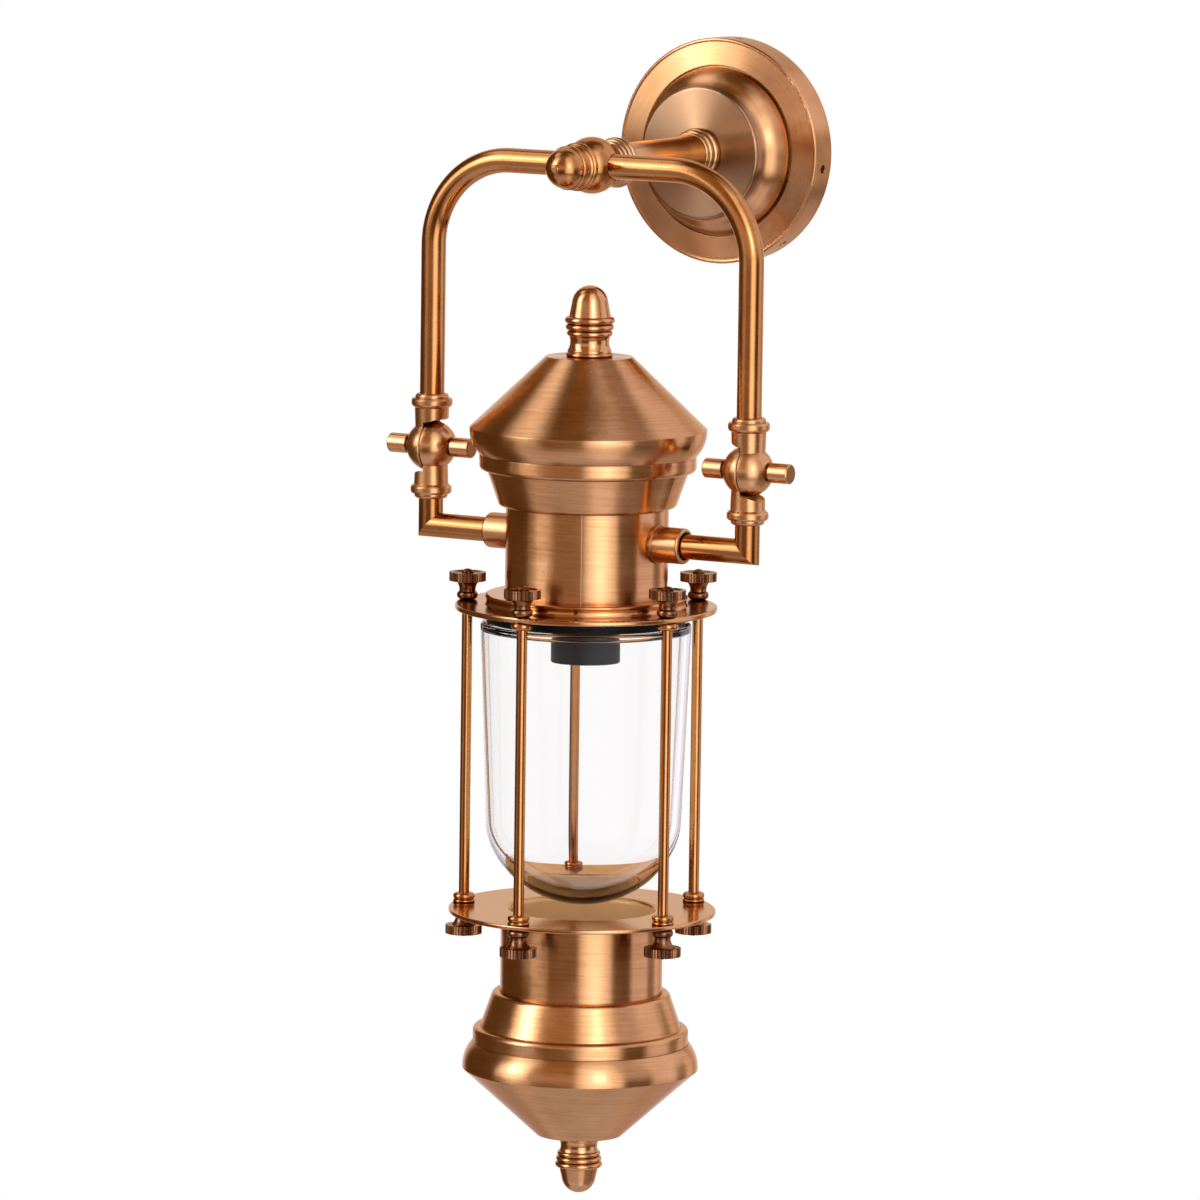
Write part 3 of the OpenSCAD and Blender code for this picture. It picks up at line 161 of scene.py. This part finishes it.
    # The grooves' direction, square to the axis and to the radius
    line = {"Z": (0, 0, 1), "Y": (0, 1, 0), "X": (1, 0, 0)}[axis]
    groove = node(tree, "ShaderNodeVectorMath", {0: line, 1: moved.outputs[0]}, operation="CROSS_PRODUCT")
    groove = node(tree, "ShaderNodeVectorTransform", {0: groove.outputs[0]}, vector_type="VECTOR", convert_from="OBJECT",
                  convert_to="WORLD")
    metallic, rough = 1.0, rough.outputs[0]
    if middle:
        within, tone, metal, even = middle
        inside = node(tree, "ShaderNodeMapRange", {0: radius.outputs["Value"], 1: within, 2: within + 0.3 * MM, 3: 1.0,
                                                   4: 0.0}).outputs[0]
        colour = node(tree, "ShaderNodeMix", {0: inside, 6: colour, 7: linear(tone)}, data_type="RGBA").outputs[2]
        metallic = node(tree, "ShaderNodeMapRange", {0: inside, 3: 1.0, 4: metal}).outputs[0]
        rough = node(tree, "ShaderNodeMix", {0: inside, 2: rough, 3: even}).outputs[0]
    shader = node(tree, "ShaderNodeBsdfPrincipled", {"Base Color": colour, "Metallic": metallic, "Roughness": rough,
                                                     "Anisotropic": stretch, "Anisotropic Rotation": 0.25,
                                                     "Tangent": groove.outputs[0], "Normal": bump.outputs[0],
                                                     "Specular Tint": linear("#e6c8a8"), "Coat Weight": 0.25,
                                                     "Coat Roughness": 0.12})
    finish(tree, shader)
    return material


def plain_metal(name, tones, roughness):
    """Rolled or plated steel: even, with a faint cloudy sheen."""
    material, tree = new_material(name)
    coordinates = node(tree, "ShaderNodeTexCoord").outputs["Object"]
    cloud = node(tree, "ShaderNodeTexNoise", {"Vector": coordinates, "Scale": 120.0, "Detail": 3.0})
    colour = ramp(tree, cloud.outputs[0], [(0.35, tones[0]), (0.65, tones[1])])
    rough = node(tree, "ShaderNodeMapRange", {0: cloud.outputs[0], 1: 0.3, 2: 0.7, 3: roughness * 0.85, 4: roughness * 1.2})
    shader = node(tree, "ShaderNodeBsdfPrincipled", {"Base Color": colour, "Metallic": 1.0, "Roughness": rough.outputs[0]})
    finish(tree, shader)
    return material


def moulded(name, tones, roughness, grain_mm, gloss=0.3):
    """Moulded thermoset or rubber: a fine even grain and no metal."""
    material, tree = new_material(name)
    coordinates = node(tree, "ShaderNodeTexCoord").outputs["Object"]
    grain = node(tree, "ShaderNodeTexNoise", {"Vector": coordinates, "Scale": 1 / (grain_mm * MM * 2), "Detail": 2.0})
    colour = ramp(tree, grain.outputs[0], [(0.35, tones[0]), (0.65, tones[1])])
    bump = node(tree, "ShaderNodeBump", {"Height": grain.outputs[0], "Strength": 0.4, "Distance": 0.05 * MM})
    shader = node(tree, "ShaderNodeBsdfPrincipled", {"Base Color": colour, "Roughness": roughness, "Specular IOR Level": gloss,
                                                     "Normal": bump.outputs[0]})
    finish(tree, shader)
    return material


def clear_glass(name):
    """Clear blown soda glass: smooth and thick at the foot, so its edges and bowl bend what is seen through them."""
    material, tree = new_material(name)
    coordinates = node(tree, "ShaderNodeTexCoord").outputs["Object"]
    waves = node(tree, "ShaderNodeTexNoise", {"Vector": coordinates, "Scale": 12.0, "Detail": 0.0})
    bump = node(tree, "ShaderNodeBump", {"Height": waves.outputs[0], "Strength": 0.3, "Distance": 0.2 * MM})
    shader = node(tree, "ShaderNodeBsdfPrincipled", {"Base Color": linear("#fdfcfc"), "Transmission Weight": 1.0,
                                                     "Roughness": 0.0, "IOR": 1.5,
                                                     "Specular Tint": linear("#94908c"), "Normal": bump.outputs[0]})
    finish(tree, shader)
    return material


def wear(names, material):
    """Gives CAD pieces a finish."""
    for name in names:
        piece = NODES[name]
        piece.data.materials.clear()
        piece.data.materials.append(material)


# Shapes


def turned(name, outline, place, steps):
    """A turned body: the outline's points, (radius, height) in mm, are extruded one after another from a single point, and
    the line is spun round the upright line through place."""
    bpy.ops.object.select_all(action="DESELECT")
    bpy.ops.mesh.primitive_plane_add(size=1, location=(0, 0, 0))
    piece = bpy.context.object
    piece.name = name
    bpy.ops.object.mode_set(mode="EDIT")
    bpy.ops.mesh.merge(type="CENTER")
    points = [Vector((place[0] + radius * MM, place[1], height * MM)) for radius, height in outline]
    bpy.ops.transform.translate(value=points[0])
    for start, end in zip(points, points[1:]):
        bpy.ops.mesh.extrude_region_move(TRANSFORM_OT_translate={"value": end - start})
    bpy.ops.mesh.select_all(action="SELECT")
    bpy.ops.mesh.spin(steps=steps, angle=2 * pi, center=(place[0], place[1], 0), axis=(0, 0, 1))
    bpy.ops.mesh.select_all(action="SELECT")
    bpy.ops.mesh.remove_doubles(threshold=0.01 * MM)
    bpy.ops.mesh.normals_make_consistent(inside=False)
    bpy.ops.object.mode_set(mode="OBJECT")
    bpy.ops.object.shade_smooth_by_angle(angle=radians(40))
    return piece


def bowl(radius, depth, top, power, count):
    """Points of a round bowl from its rim to its lowest point, a little fuller or slimmer than an ellipse by power."""
    return [(radius * cos(t) ** (2 / power), top - depth * sin(t) ** (2 / power))
            for t in (radians(90 * i / count) for i in range(count))] + [(0, top - depth)]


# Settings


class WallLightFinish(bpy.types.PropertyGroup):
    brass_roughness: bpy.props.FloatProperty(name="Brushed roughness", description="Roughness of the brushed brass",
                                             default=0.24, min=0.05, max=0.9)
    polish_roughness: bpy.props.FloatProperty(name="Polished roughness", description="Roughness of the polished brass",
                                              default=0.17, min=0.02, max=0.9)
    satin_roughness: bpy.props.FloatProperty(name="Satin roughness", description="Roughness of the balls, hub and bosses",
                                             default=0.28, min=0.05, max=0.9)
    glass_foot: bpy.props.FloatProperty(name="Glass foot", description="Thickness of the glass at the bottom of its bowl",
                                        default=0.0065, min=0.004, max=0.02, unit="LENGTH")
    brush_spacing: bpy.props.FloatProperty(name="Brush spacing (mm)", description="Distance between the brushed grooves",
                                           default=0.8, min=0.1, max=5.0)


class WallLightStage(bpy.types.PropertyGroup):
    distance: bpy.props.FloatProperty(name="Camera distance", description="From the camera to the point it looks at",
                                      default=4.5588, unit="LENGTH")
    azimuth: bpy.props.FloatProperty(name="Azimuth", description="Camera's turn to the right of the front",
                                     default=radians(30.86), subtype="ANGLE")
    elevation: bpy.props.FloatProperty(name="Elevation", description="Camera's height above the horizon",
                                       default=radians(7.49), subtype="ANGLE")
    roll: bpy.props.FloatProperty(name="Roll", description="Camera's turn about its own axis",
                                  default=radians(0.78), subtype="ANGLE")
    focal_length: bpy.props.FloatProperty(name="Focal length (mm)", description="On a 36 mm wide sensor", default=242.07)
    floor_drop: bpy.props.FloatProperty(name="Floor height", description="Height of the floor below the arm",
                                        default=1.7, unit="LENGTH")


BRASS = ("#b88049", "#cc945b", "#dca66e")
POLISHED = ("#c58c54", "#ce955c", "#d79f66")
DARK = ("#4a2c15", "#6b4423", "#85592f")
# Painted shade: a darker copy of the polished brass for the tubes, hub, nose and rods
SHADED_TUBE = ("#b17338", "#bc7e41", "#c7894b")
ARM = ("#c59560", "#cea06c", "#d7aa77")
# Painted shade: a still darker copy of the brass for the elbows, which tones down their highlight
SHADED_ELBOW = ("#a0662f", "#ab7036", "#b67a40")
# Painted shade: a dark copy of the brass for the knurled nuts, standing in for the shade in their grooves
SHADED_KNURL = ("#553520", "#81532f", "#a57043")

# What shines on the gloss, in degrees round the object from its front and above the level, with a soft edge and a level:
# dim warm walls, a dark ceiling, a pale ground, two tall softboxes, one leaning in over the left, and pale walls behind
TENT_CENTRE = (0, -0.15, -0.25)
WALL, PALE, BRIGHT = (1.25, 0.76, 0.4), (0.97, 1.0, 1.45), (1.0, 1.06, 1.35)
LIGHT_MAP = (
    (-200, 200, -60, 95, 6, 0.12, WALL), (-25, 28, -6, 74, 8, 0.22, WALL), (-22, 26, -2, 16, 6, 0.4, PALE),
    (-200, 200, -100, -54, 6, 0.7, PALE), (-58, 72, -54, -32, 6, 0.6, PALE), (36, 72, -64, -36, 8, 0.55, PALE),
    (-200, -112, -54, -22, 6, 0.6, PALE), (74, 140, -54, -30, 6, 0.25, PALE), (140, 200, -54, -22, 6, 0.55, PALE),
    (-200, -122, -24, 60, 6, 0.75, PALE), (106, 178, -20, 56, 5, 0.95, PALE), (74, 106, 4, 66, 6, 0.65, PALE), (140, 158, -26, 10, 4, -0.75, PALE),
    (80, 145, 58, 84, 8, 0.45, PALE),
    (-60, -24, 0, 50, 3, 1.6, BRIGHT), (-52, -28, 4, 42, 4, 1.5, BRIGHT), (-46, -18, -30, 0, 4, 0.4, PALE),
    (-46, -36, 18, 32, 4, 7.0, BRIGHT), (46, 56, 8, 24, 4, 4.0, BRIGHT),
    (-64, -24, 48, 60, 5, 0.9, BRIGHT), (-104, -64, 46, 66, 6, 1.2, BRIGHT),
    (28, 74, -24, 58, 5, 1.4, BRIGHT), (38, 62, -18, 38, 6, 1.0, BRIGHT), (32, 76, 56, 72, 6, 0.85, PALE),
)


class PIECES_OT_rose(bpy.types.Operator):
    """Finishes the wall rose and what it covers"""
    bl_idname = "wall_light.rose"
    bl_label = "Wall rose"

    def execute(self, context):
        look = context.scene.wall_light_finish
        wear(["rose_cover"], turned_brass("antique brass brushed round the arm", BRASS, look.brass_roughness,
                                          look.brush_spacing, 0.003, axis="Y", grime=0.75, stretch=0.92,
                                          middle=(38.5 * MM, "#a88158", 1.0, 0.27), crown=5))
        wear(["rose_screws"], turned_brass("darkened brass screw", DARK, 0.35, 0.5, 0.01))
        wear(["rose_bracket"], plain_metal("zinc-plated sheet steel", ("#a9abb0", "#c2c4c8"), 0.35))
        wear(["terminal_block"], moulded("white moulded block", ("#dcdcd6", "#efefe9"), 0.45, 0.4))
        return {"FINISHED"}


class PIECES_OT_arm(bpy.types.Operator):
    """Finishes the arm, the ball hub and the nose"""
    bl_idname = "wall_light.arm"
    bl_label = "Arm and hub"

    def execute(self, context):
        look = context.scene.wall_light_finish
        polished = turned_brass("brass turned and polished round the arm", ARM, look.polish_roughness, 0.6, 0.004, axis="Y")
        wear(["arm_collar", "bead_coupling", "arm_tube"], polished)
        wear(["yoke_hub", "nose_finial"], turned_brass("brass turned round the arm, satin", SHADED_TUBE, 0.2, 0.6, 0.003, axis="Y"))
        wear(["arm_nipple", "arm_lock_nut"], plain_metal("zinc-plated turned steel", ("#9fa1a6", "#bbbdc1"), 0.3))
        return {"FINISHED"}


class PIECES_OT_yoke(bpy.types.Operator):
    """Finishes the yoke tubes, the knuckles and the elbows"""
    bl_idname = "wall_light.yoke"
    bl_label = "Yoke and knuckles"

    def execute(self, context):
        look = context.scene.wall_light_finish
        tube = turned_brass("brass tube drawn and polished", SHADED_TUBE, look.polish_roughness, 1.2, 0.003, centre=LANTERN_AXIS)
        wear(["yoke_tube_left", "yoke_tube_right"], tube)
        wear(["elbow_left", "elbow_right"], turned_brass("brass elbow pipe", SHADED_ELBOW, look.polish_roughness, 1.2, 0.003,
                                                         centre=LANTERN_AXIS))
        wear([n for n in NODES if n.startswith(("upper_knuckle", "lower_knuckle"))] + ["elbow_bosses"],
             turned_brass("brass cast and turned, satin", POLISHED, look.satin_roughness, 0.8, 0.003, centre=LANTERN_AXIS))
        nut = turned_brass("brass nut turned across", POLISHED, look.polish_roughness, 0.6, 0.004,
                           centre=(0, TILT["pos_m"][1], TILT["pos_m"][2]), axis="X")
        wear([n for n in NODES if n.startswith(("barrel_nut", "pivot_stud"))], nut)
        wear(["lock_nuts"], plain_metal("zinc-plated lock nut", ("#9fa1a6", "#bbbdc1"), 0.3))
        return {"FINISHED"}


class PIECES_OT_lantern(bpy.types.Operator):
    """Finishes the roof, neck, plates and foot"""
    bl_idname = "wall_light.lantern"
    bl_label = "Lantern body"

    def execute(self, context):
        look = context.scene.wall_light_finish
        brushed = turned_brass("brass brushed round the lantern", BRASS, look.brass_roughness, look.brush_spacing, 0.014,
                               centre=LANTERN_AXIS, stretch=0.85, edge_mm=0.8, specks=True)
        polished = turned_brass("brass turned and polished round the lantern", POLISHED, look.polish_roughness, 0.6, 0.004,
                                centre=LANTERN_AXIS)
        wear(["roof_cone", "roof_cowl", "lower_cone"], brushed)
        wear(["lower_cowl"], turned_brass("brass spun and satin polished", BRASS, look.brass_roughness, look.brush_spacing,
                                          0.01, centre=LANTERN_AXIS, stretch=0.35, edge_mm=0.8, specks=True))
        wear(["neck_tube"], turned_brass("brass tube rolled from sheet, with its seam", BRASS, look.brass_roughness,
                                         look.brush_spacing, 0.014, centre=LANTERN_AXIS, stretch=0.85, seam=27.2, specks=True))
        # Matt inside, in a colour paler than the brass: the matt finish is its own, the paleness is painted light
        # falling in through the mouth
        inner = NODES["lower_tube"].dimensions.x / 2 - 0.9 * MM
        wear(["lower_tube"], turned_brass("brass tube brushed outside and matt inside", BRASS, look.brass_roughness,
                                          look.brush_spacing, 0.014, centre=LANTERN_AXIS, stretch=0.85, specks=True,
                                          middle=(inner, "#f9c98c", 0.15, 0.3)))
        wear(["roof_finial", "bottom_finial", "neck_flange", "top_plate"], polished)
        # The matt spun mouth is painted paler than the brass, as painted light falling in on it; its matt finish is its
        # own
        wear(["bottom_plate"], turned_brass("brass plate with a matt spun mouth", POLISHED, look.polish_roughness, 0.6, 0.004,
                                            centre=LANTERN_AXIS, middle=(41 * MM, "#f9c98c", 0.15, 0.3)))
        wear(["flange_screws", "plate_screws"], turned_brass("darkened brass set screw", DARK, 0.35, 0.5, 0.01))
        wear(["bridge_bars", "finial_bolts"], plain_metal("zinc-plated bar", ("#a9abb0", "#c2c4c8"), 0.35))
        return {"FINISHED"}


class PIECES_OT_cage(bpy.types.Operator):
    """Finishes the tie rods and the thumb nuts"""
    bl_idname = "wall_light.cage"
    bl_label = "Rods and thumb nuts"

    def execute(self, context):
        look = context.scene.wall_light_finish
        wear(["tie_rods"], turned_brass("brass rod drawn bright", SHADED_TUBE, look.polish_roughness, 1.2, 0.001, centre=LANTERN_AXIS, edge_mm=0))
        # The knurled nuts take the dark copy of the brass, painted shade of their grooves
        wear([n for n in NODES if "thumb_nut" in n],
             turned_brass("knurled brass, with painted shade of its grooves", SHADED_KNURL, 0.25, 0.6, 0.003, centre=LANTERN_AXIS, edge_mm=0))
        return {"FINISHED"}


class PIECES_OT_glass(bpy.types.Operator):
    """Finishes the glass jar, its clamp ring and the lamp holder"""
    bl_idname = "wall_light.glass"
    bl_label = "Glass and lamp holder"

    def execute(self, context):
        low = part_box("glass_jar")[0].z / MM
        rim = low + 49
        outside = [(50.3, low + 166), (50.3, low + 161.1), (57.4, low + 161.1), (58.5, low + 160.8), (59.3, low + 160),
                   (59.6, low + 158.9)] + bowl(55.5, 49, rim, 1.935, 28)
        inside = bowl(51, 49 - context.scene.wall_light_finish.glass_foot / MM, rim, 1.935, 28)[::-1]
        inside += [(55.1, low + 155.5), (54.8, low + 156.2), (54.0, low + 156.6), (45.8, low + 156.6), (45.8, low + 166)]
        jar = turned("glass_jar_blown", outside + inside + outside[:1], LANTERN_AXIS, 144)
        jar.data.materials.append(clear_glass("clear blown glass"))
        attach(jar, "lantern")
        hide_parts("glass_jar")
        # Clear glass keeps no light from what stands under it
        jar.visible_shadow = False
        wear(["clamp_ring", "lamp_holder"], moulded("black moulded phenolic", ("#120f0f", "#1c1717"), 0.45, 0.5, gloss=0.1))
        wear(["glass_gasket"], moulded("black sheet rubber", ("#151515", "#1e1e1e"), 0.7, 0.3))
        wear(["screw_shell", "holder_contact"], plain_metal("bright stamped brass", ("#c9a45c", "#d9b873"), 0.25))
        wear(["holder_strap"], plain_metal("zinc-plated strap", ("#a9abb0", "#c2c4c8"), 0.35))
        return {"FINISHED"}


class STAGE_OT_studio(bpy.types.Operator):
    """Sets the floor, the soft lamps, the white surround and the camera"""
    bl_idname = "wall_light.stage"
    bl_label = "Studio stage"

    def execute(self, context):
        stage = context.scene.wall_light_stage
        context.scene.view_settings.view_transform = "Standard"
        self.surround(context)
        self.floor(stage)
        self.tent()
        self.lamp("left softbox", (-2.3, -2.4, 1.1), (0, -0.16, -0.25), (1.6, 2.6), 30)
        self.lamp("right softbox", (2.3, -2.4, 0.9), (0, -0.16, -0.25), (1.6, 2.6), 30)
        self.lamp("top softbox", (0.2, -0.6, 2.2), (0, -0.16, -0.25), (1.6, 1.2), 20)
        self.camera(context, stage)
        return {"FINISHED"}

    def surround(self, context):
        world = bpy.data.worlds.new("white surround")
        context.scene.world = world
        world.use_nodes = True
        tree = world.node_tree
        tree.nodes.clear()
        level = node(tree, "ShaderNodeMapRange", {0: self.seen(tree), 3: 0.35, 4: 1.0})
        glow = node(tree, "ShaderNodeBackground", {"Color": (1, 1, 1, 1), "Strength": level.outputs[0]})
        node(tree, "ShaderNodeOutputWorld", {"Surface": glow.outputs[0]})

    def seen(self, tree):
        """1 for rays that show the background: straight from the camera, in a gloss or through glass."""
        path = node(tree, "ShaderNodeLightPath").outputs
        shown = node(tree, "ShaderNodeMath", {0: path["Is Camera Ray"], 1: path["Is Glossy Ray"]}, operation="MAXIMUM")
        return node(tree, "ShaderNodeMath", {0: shown.outputs[0], 1: path["Is Transmission Ray"]},
                    operation="MAXIMUM").outputs[0]

    def floor(self, stage):
        bpy.ops.mesh.primitive_plane_add(size=60, location=(0, 0, -stage.floor_drop))
        floor = bpy.context.object
        floor.name = "floor"
        material, tree = new_material("pale painted floor")
        # Pure white far from the object, and a little less under it, where its shadow falls
        place = node(tree, "ShaderNodeVectorMath", {0: node(tree, "ShaderNodeTexCoord").outputs["Object"]}, operation="LENGTH")
        white = node(tree, "ShaderNodeMapRange", {0: place.outputs["Value"], 1: 1.0, 2: 3.5, 3: 0.8, 4: 1.0},
                     interpolation_type="SMOOTHSTEP")
        share = node(tree, "ShaderNodeMath", {0: self.seen(tree), 1: white.outputs[0]}, operation="MULTIPLY")
        glow = node(tree, "ShaderNodeEmission", {"Color": (1, 1, 1, 1), "Strength": 1.0})
        paint = node(tree, "ShaderNodeBsdfDiffuse", {"Color": linear("#f2f2f0")})
        top = node(tree, "ShaderNodeMixShader", {0: share.outputs[0], 1: paint.outputs[0], 2: glow.outputs[0]})
        # Clear from below, so the light can be seen from there as well
        under = node(tree, "ShaderNodeNewGeometry").outputs["Backfacing"]
        clear = node(tree, "ShaderNodeBsdfTransparent")
        finish(tree, node(tree, "ShaderNodeMixShader", {0: under, 1: top.outputs[0], 2: clear.outputs[0]}))
        floor.data.materials.append(material)
        floor.visible_glossy = False

    def tent(self):
        """Grey walls, bright softboxes and a pale ground round the object, which only gloss shows. The wall behind the
        object is left out, so metal shows the white background there."""
        bpy.ops.object.select_all(action="DESELECT")
        bpy.ops.mesh.primitive_uv_sphere_add(segments=72, ring_count=36, radius=8, location=TENT_CENTRE)
        tent = bpy.context.object
        tent.name = "studio_tent"
        bpy.ops.object.mode_set(mode="EDIT")
        bpy.ops.mesh.select_all(action="DESELECT")
        bpy.ops.object.mode_set(mode="OBJECT")
        for face in tent.data.polygons:
            x, y, z = face.center
            turn, height = degrees(atan2(x, -y)), degrees(atan2(z, (x * x + y * y) ** 0.5))
            face.select = -170 < turn < -128 and -25 < height < 30
        bpy.ops.object.mode_set(mode="EDIT")
        bpy.ops.mesh.delete(type="FACE")
        bpy.ops.object.mode_set(mode="OBJECT")
        material, tree = new_material("grey studio walls with softboxes")
        parts = node(tree, "ShaderNodeSeparateXYZ", {0: node(tree, "ShaderNodeTexCoord").outputs["Object"]}).outputs
        front = node(tree, "ShaderNodeMath", {0: parts["Y"], 1: -1.0}, operation="MULTIPLY").outputs[0]
        turn = node(tree, "ShaderNodeMath", {0: parts["X"], 1: front}, operation="ARCTAN2").outputs[0]
        height = node(tree, "ShaderNodeMath", {0: parts["Z"], 1: 8.0}, operation="DIVIDE").outputs[0]
        height = node(tree, "ShaderNodeMath", {0: height}, operation="ARCSINE").outputs[0]
        total = (0.0, 0.0, 0.0)
        for left, right, low, high, edge, level, colour in LIGHT_MAP:
            wide = self.band(tree, turn, left, right, edge)
            tall = self.band(tree, height, low, high, edge)
            patch = node(tree, "ShaderNodeMath", {0: wide, 1: tall}, operation="MULTIPLY").outputs[0]
            total = node(tree, "ShaderNodeVectorMath", {0: patch, 1: [level * c for c in colour], 2: total},
                         operation="MULTIPLY_ADD").outputs[0]
        glow = node(tree, "ShaderNodeEmission", {"Color": total, "Strength": 1.0})
        finish(tree, glow)
        tent.data.materials.append(material)
        tent.visible_camera = tent.visible_diffuse = tent.visible_transmission = tent.visible_shadow = False

    def band(self, tree, value, low, high, edge):
        """1 between two angles in degrees, with soft edges."""
        rise = node(tree, "ShaderNodeMapRange", {0: value, 1: radians(low - edge), 2: radians(low + edge)},
                    interpolation_type="SMOOTHSTEP").outputs[0]
        fall = node(tree, "ShaderNodeMapRange", {0: value, 1: radians(high - edge), 2: radians(high + edge), 3: 1.0, 4: 0.0},
                    interpolation_type="SMOOTHSTEP").outputs[0]
        return node(tree, "ShaderNodeMath", {0: rise, 1: fall}, operation="MULTIPLY").outputs[0]

    def lamp(self, name, place, aim, size, power):
        light = bpy.data.lights.new(name, "AREA")
        light.shape = "RECTANGLE"
        light.size, light.size_y = size
        light.energy = power
        made = bpy.data.objects.new(name, light)
        bpy.context.scene.collection.objects.link(made)
        made.location = place
        made.rotation_euler = (Vector(aim) - Vector(place)).to_track_quat("-Z", "Y").to_euler()
        made.visible_glossy = made.visible_camera = made.visible_transmission = False

    def camera(self, context, stage):
        a, e, r = stage.azimuth, stage.elevation, stage.roll
        back = Vector((sin(a) * cos(e), -cos(a) * cos(e), sin(e)))
        right = Vector((cos(a), sin(a), 0))
        up = back.cross(right)
        right, up = right * cos(r) + up * sin(r), up * cos(r) - right * sin(r)
        target = Vector((0, -0.15, -0.25)) + right * 0.00374 + up * 0.0035
        lens = bpy.data.cameras.new("camera")
        lens.lens = stage.focal_length
        lens.sensor_width = 36
        lens.clip_end = 100
        made = bpy.data.objects.new("camera", lens)
        context.scene.collection.objects.link(made)
        made.matrix_world = Matrix.Translation(target + back * stage.distance) @ Matrix((right, up, back)).transposed().to_4x4()
        context.scene.camera = made


class VIEW3D_PT_wall_light(bpy.types.Panel):
    """Lists the light's pieces and settings"""
    bl_label = "Wall light"
    bl_idname = "VIEW3D_PT_wall_light"
    bl_space_type = "VIEW_3D"
    bl_region_type = "UI"
    bl_category = "Wall light"

    def draw(self, context):
        column = self.layout.column()
        for group in (context.scene.wall_light_finish, context.scene.wall_light_stage):
            for name in group.__annotations__:
                column.prop(group, name)
        for operator in OPERATORS:
            column.operator(operator.bl_idname)


SETTINGS = {"wall_light_finish": WallLightFinish, "wall_light_stage": WallLightStage}
OPERATORS = (PIECES_OT_rose, PIECES_OT_arm, PIECES_OT_yoke, PIECES_OT_lantern, PIECES_OT_cage, PIECES_OT_glass,
             STAGE_OT_studio)


def register():
    for cls in (*SETTINGS.values(), *OPERATORS, VIEW3D_PT_wall_light):
        bpy.utils.register_class(cls)
    for name, cls in SETTINGS.items():
        setattr(bpy.types.Scene, name, bpy.props.PointerProperty(type=cls))


def unregister():
    for name in SETTINGS:
        delattr(bpy.types.Scene, name)
    for cls in (VIEW3D_PT_wall_light, *reversed(OPERATORS), *SETTINGS.values()):
        bpy.utils.unregister_class(cls)


def main():
    register()
    bpy.ops.wall_light.stage()
    for step in ("rose", "arm", "yoke", "lantern", "cage", "glass"):
        getattr(bpy.ops.wall_light, step)()


if __name__ == "__main__":
    main()
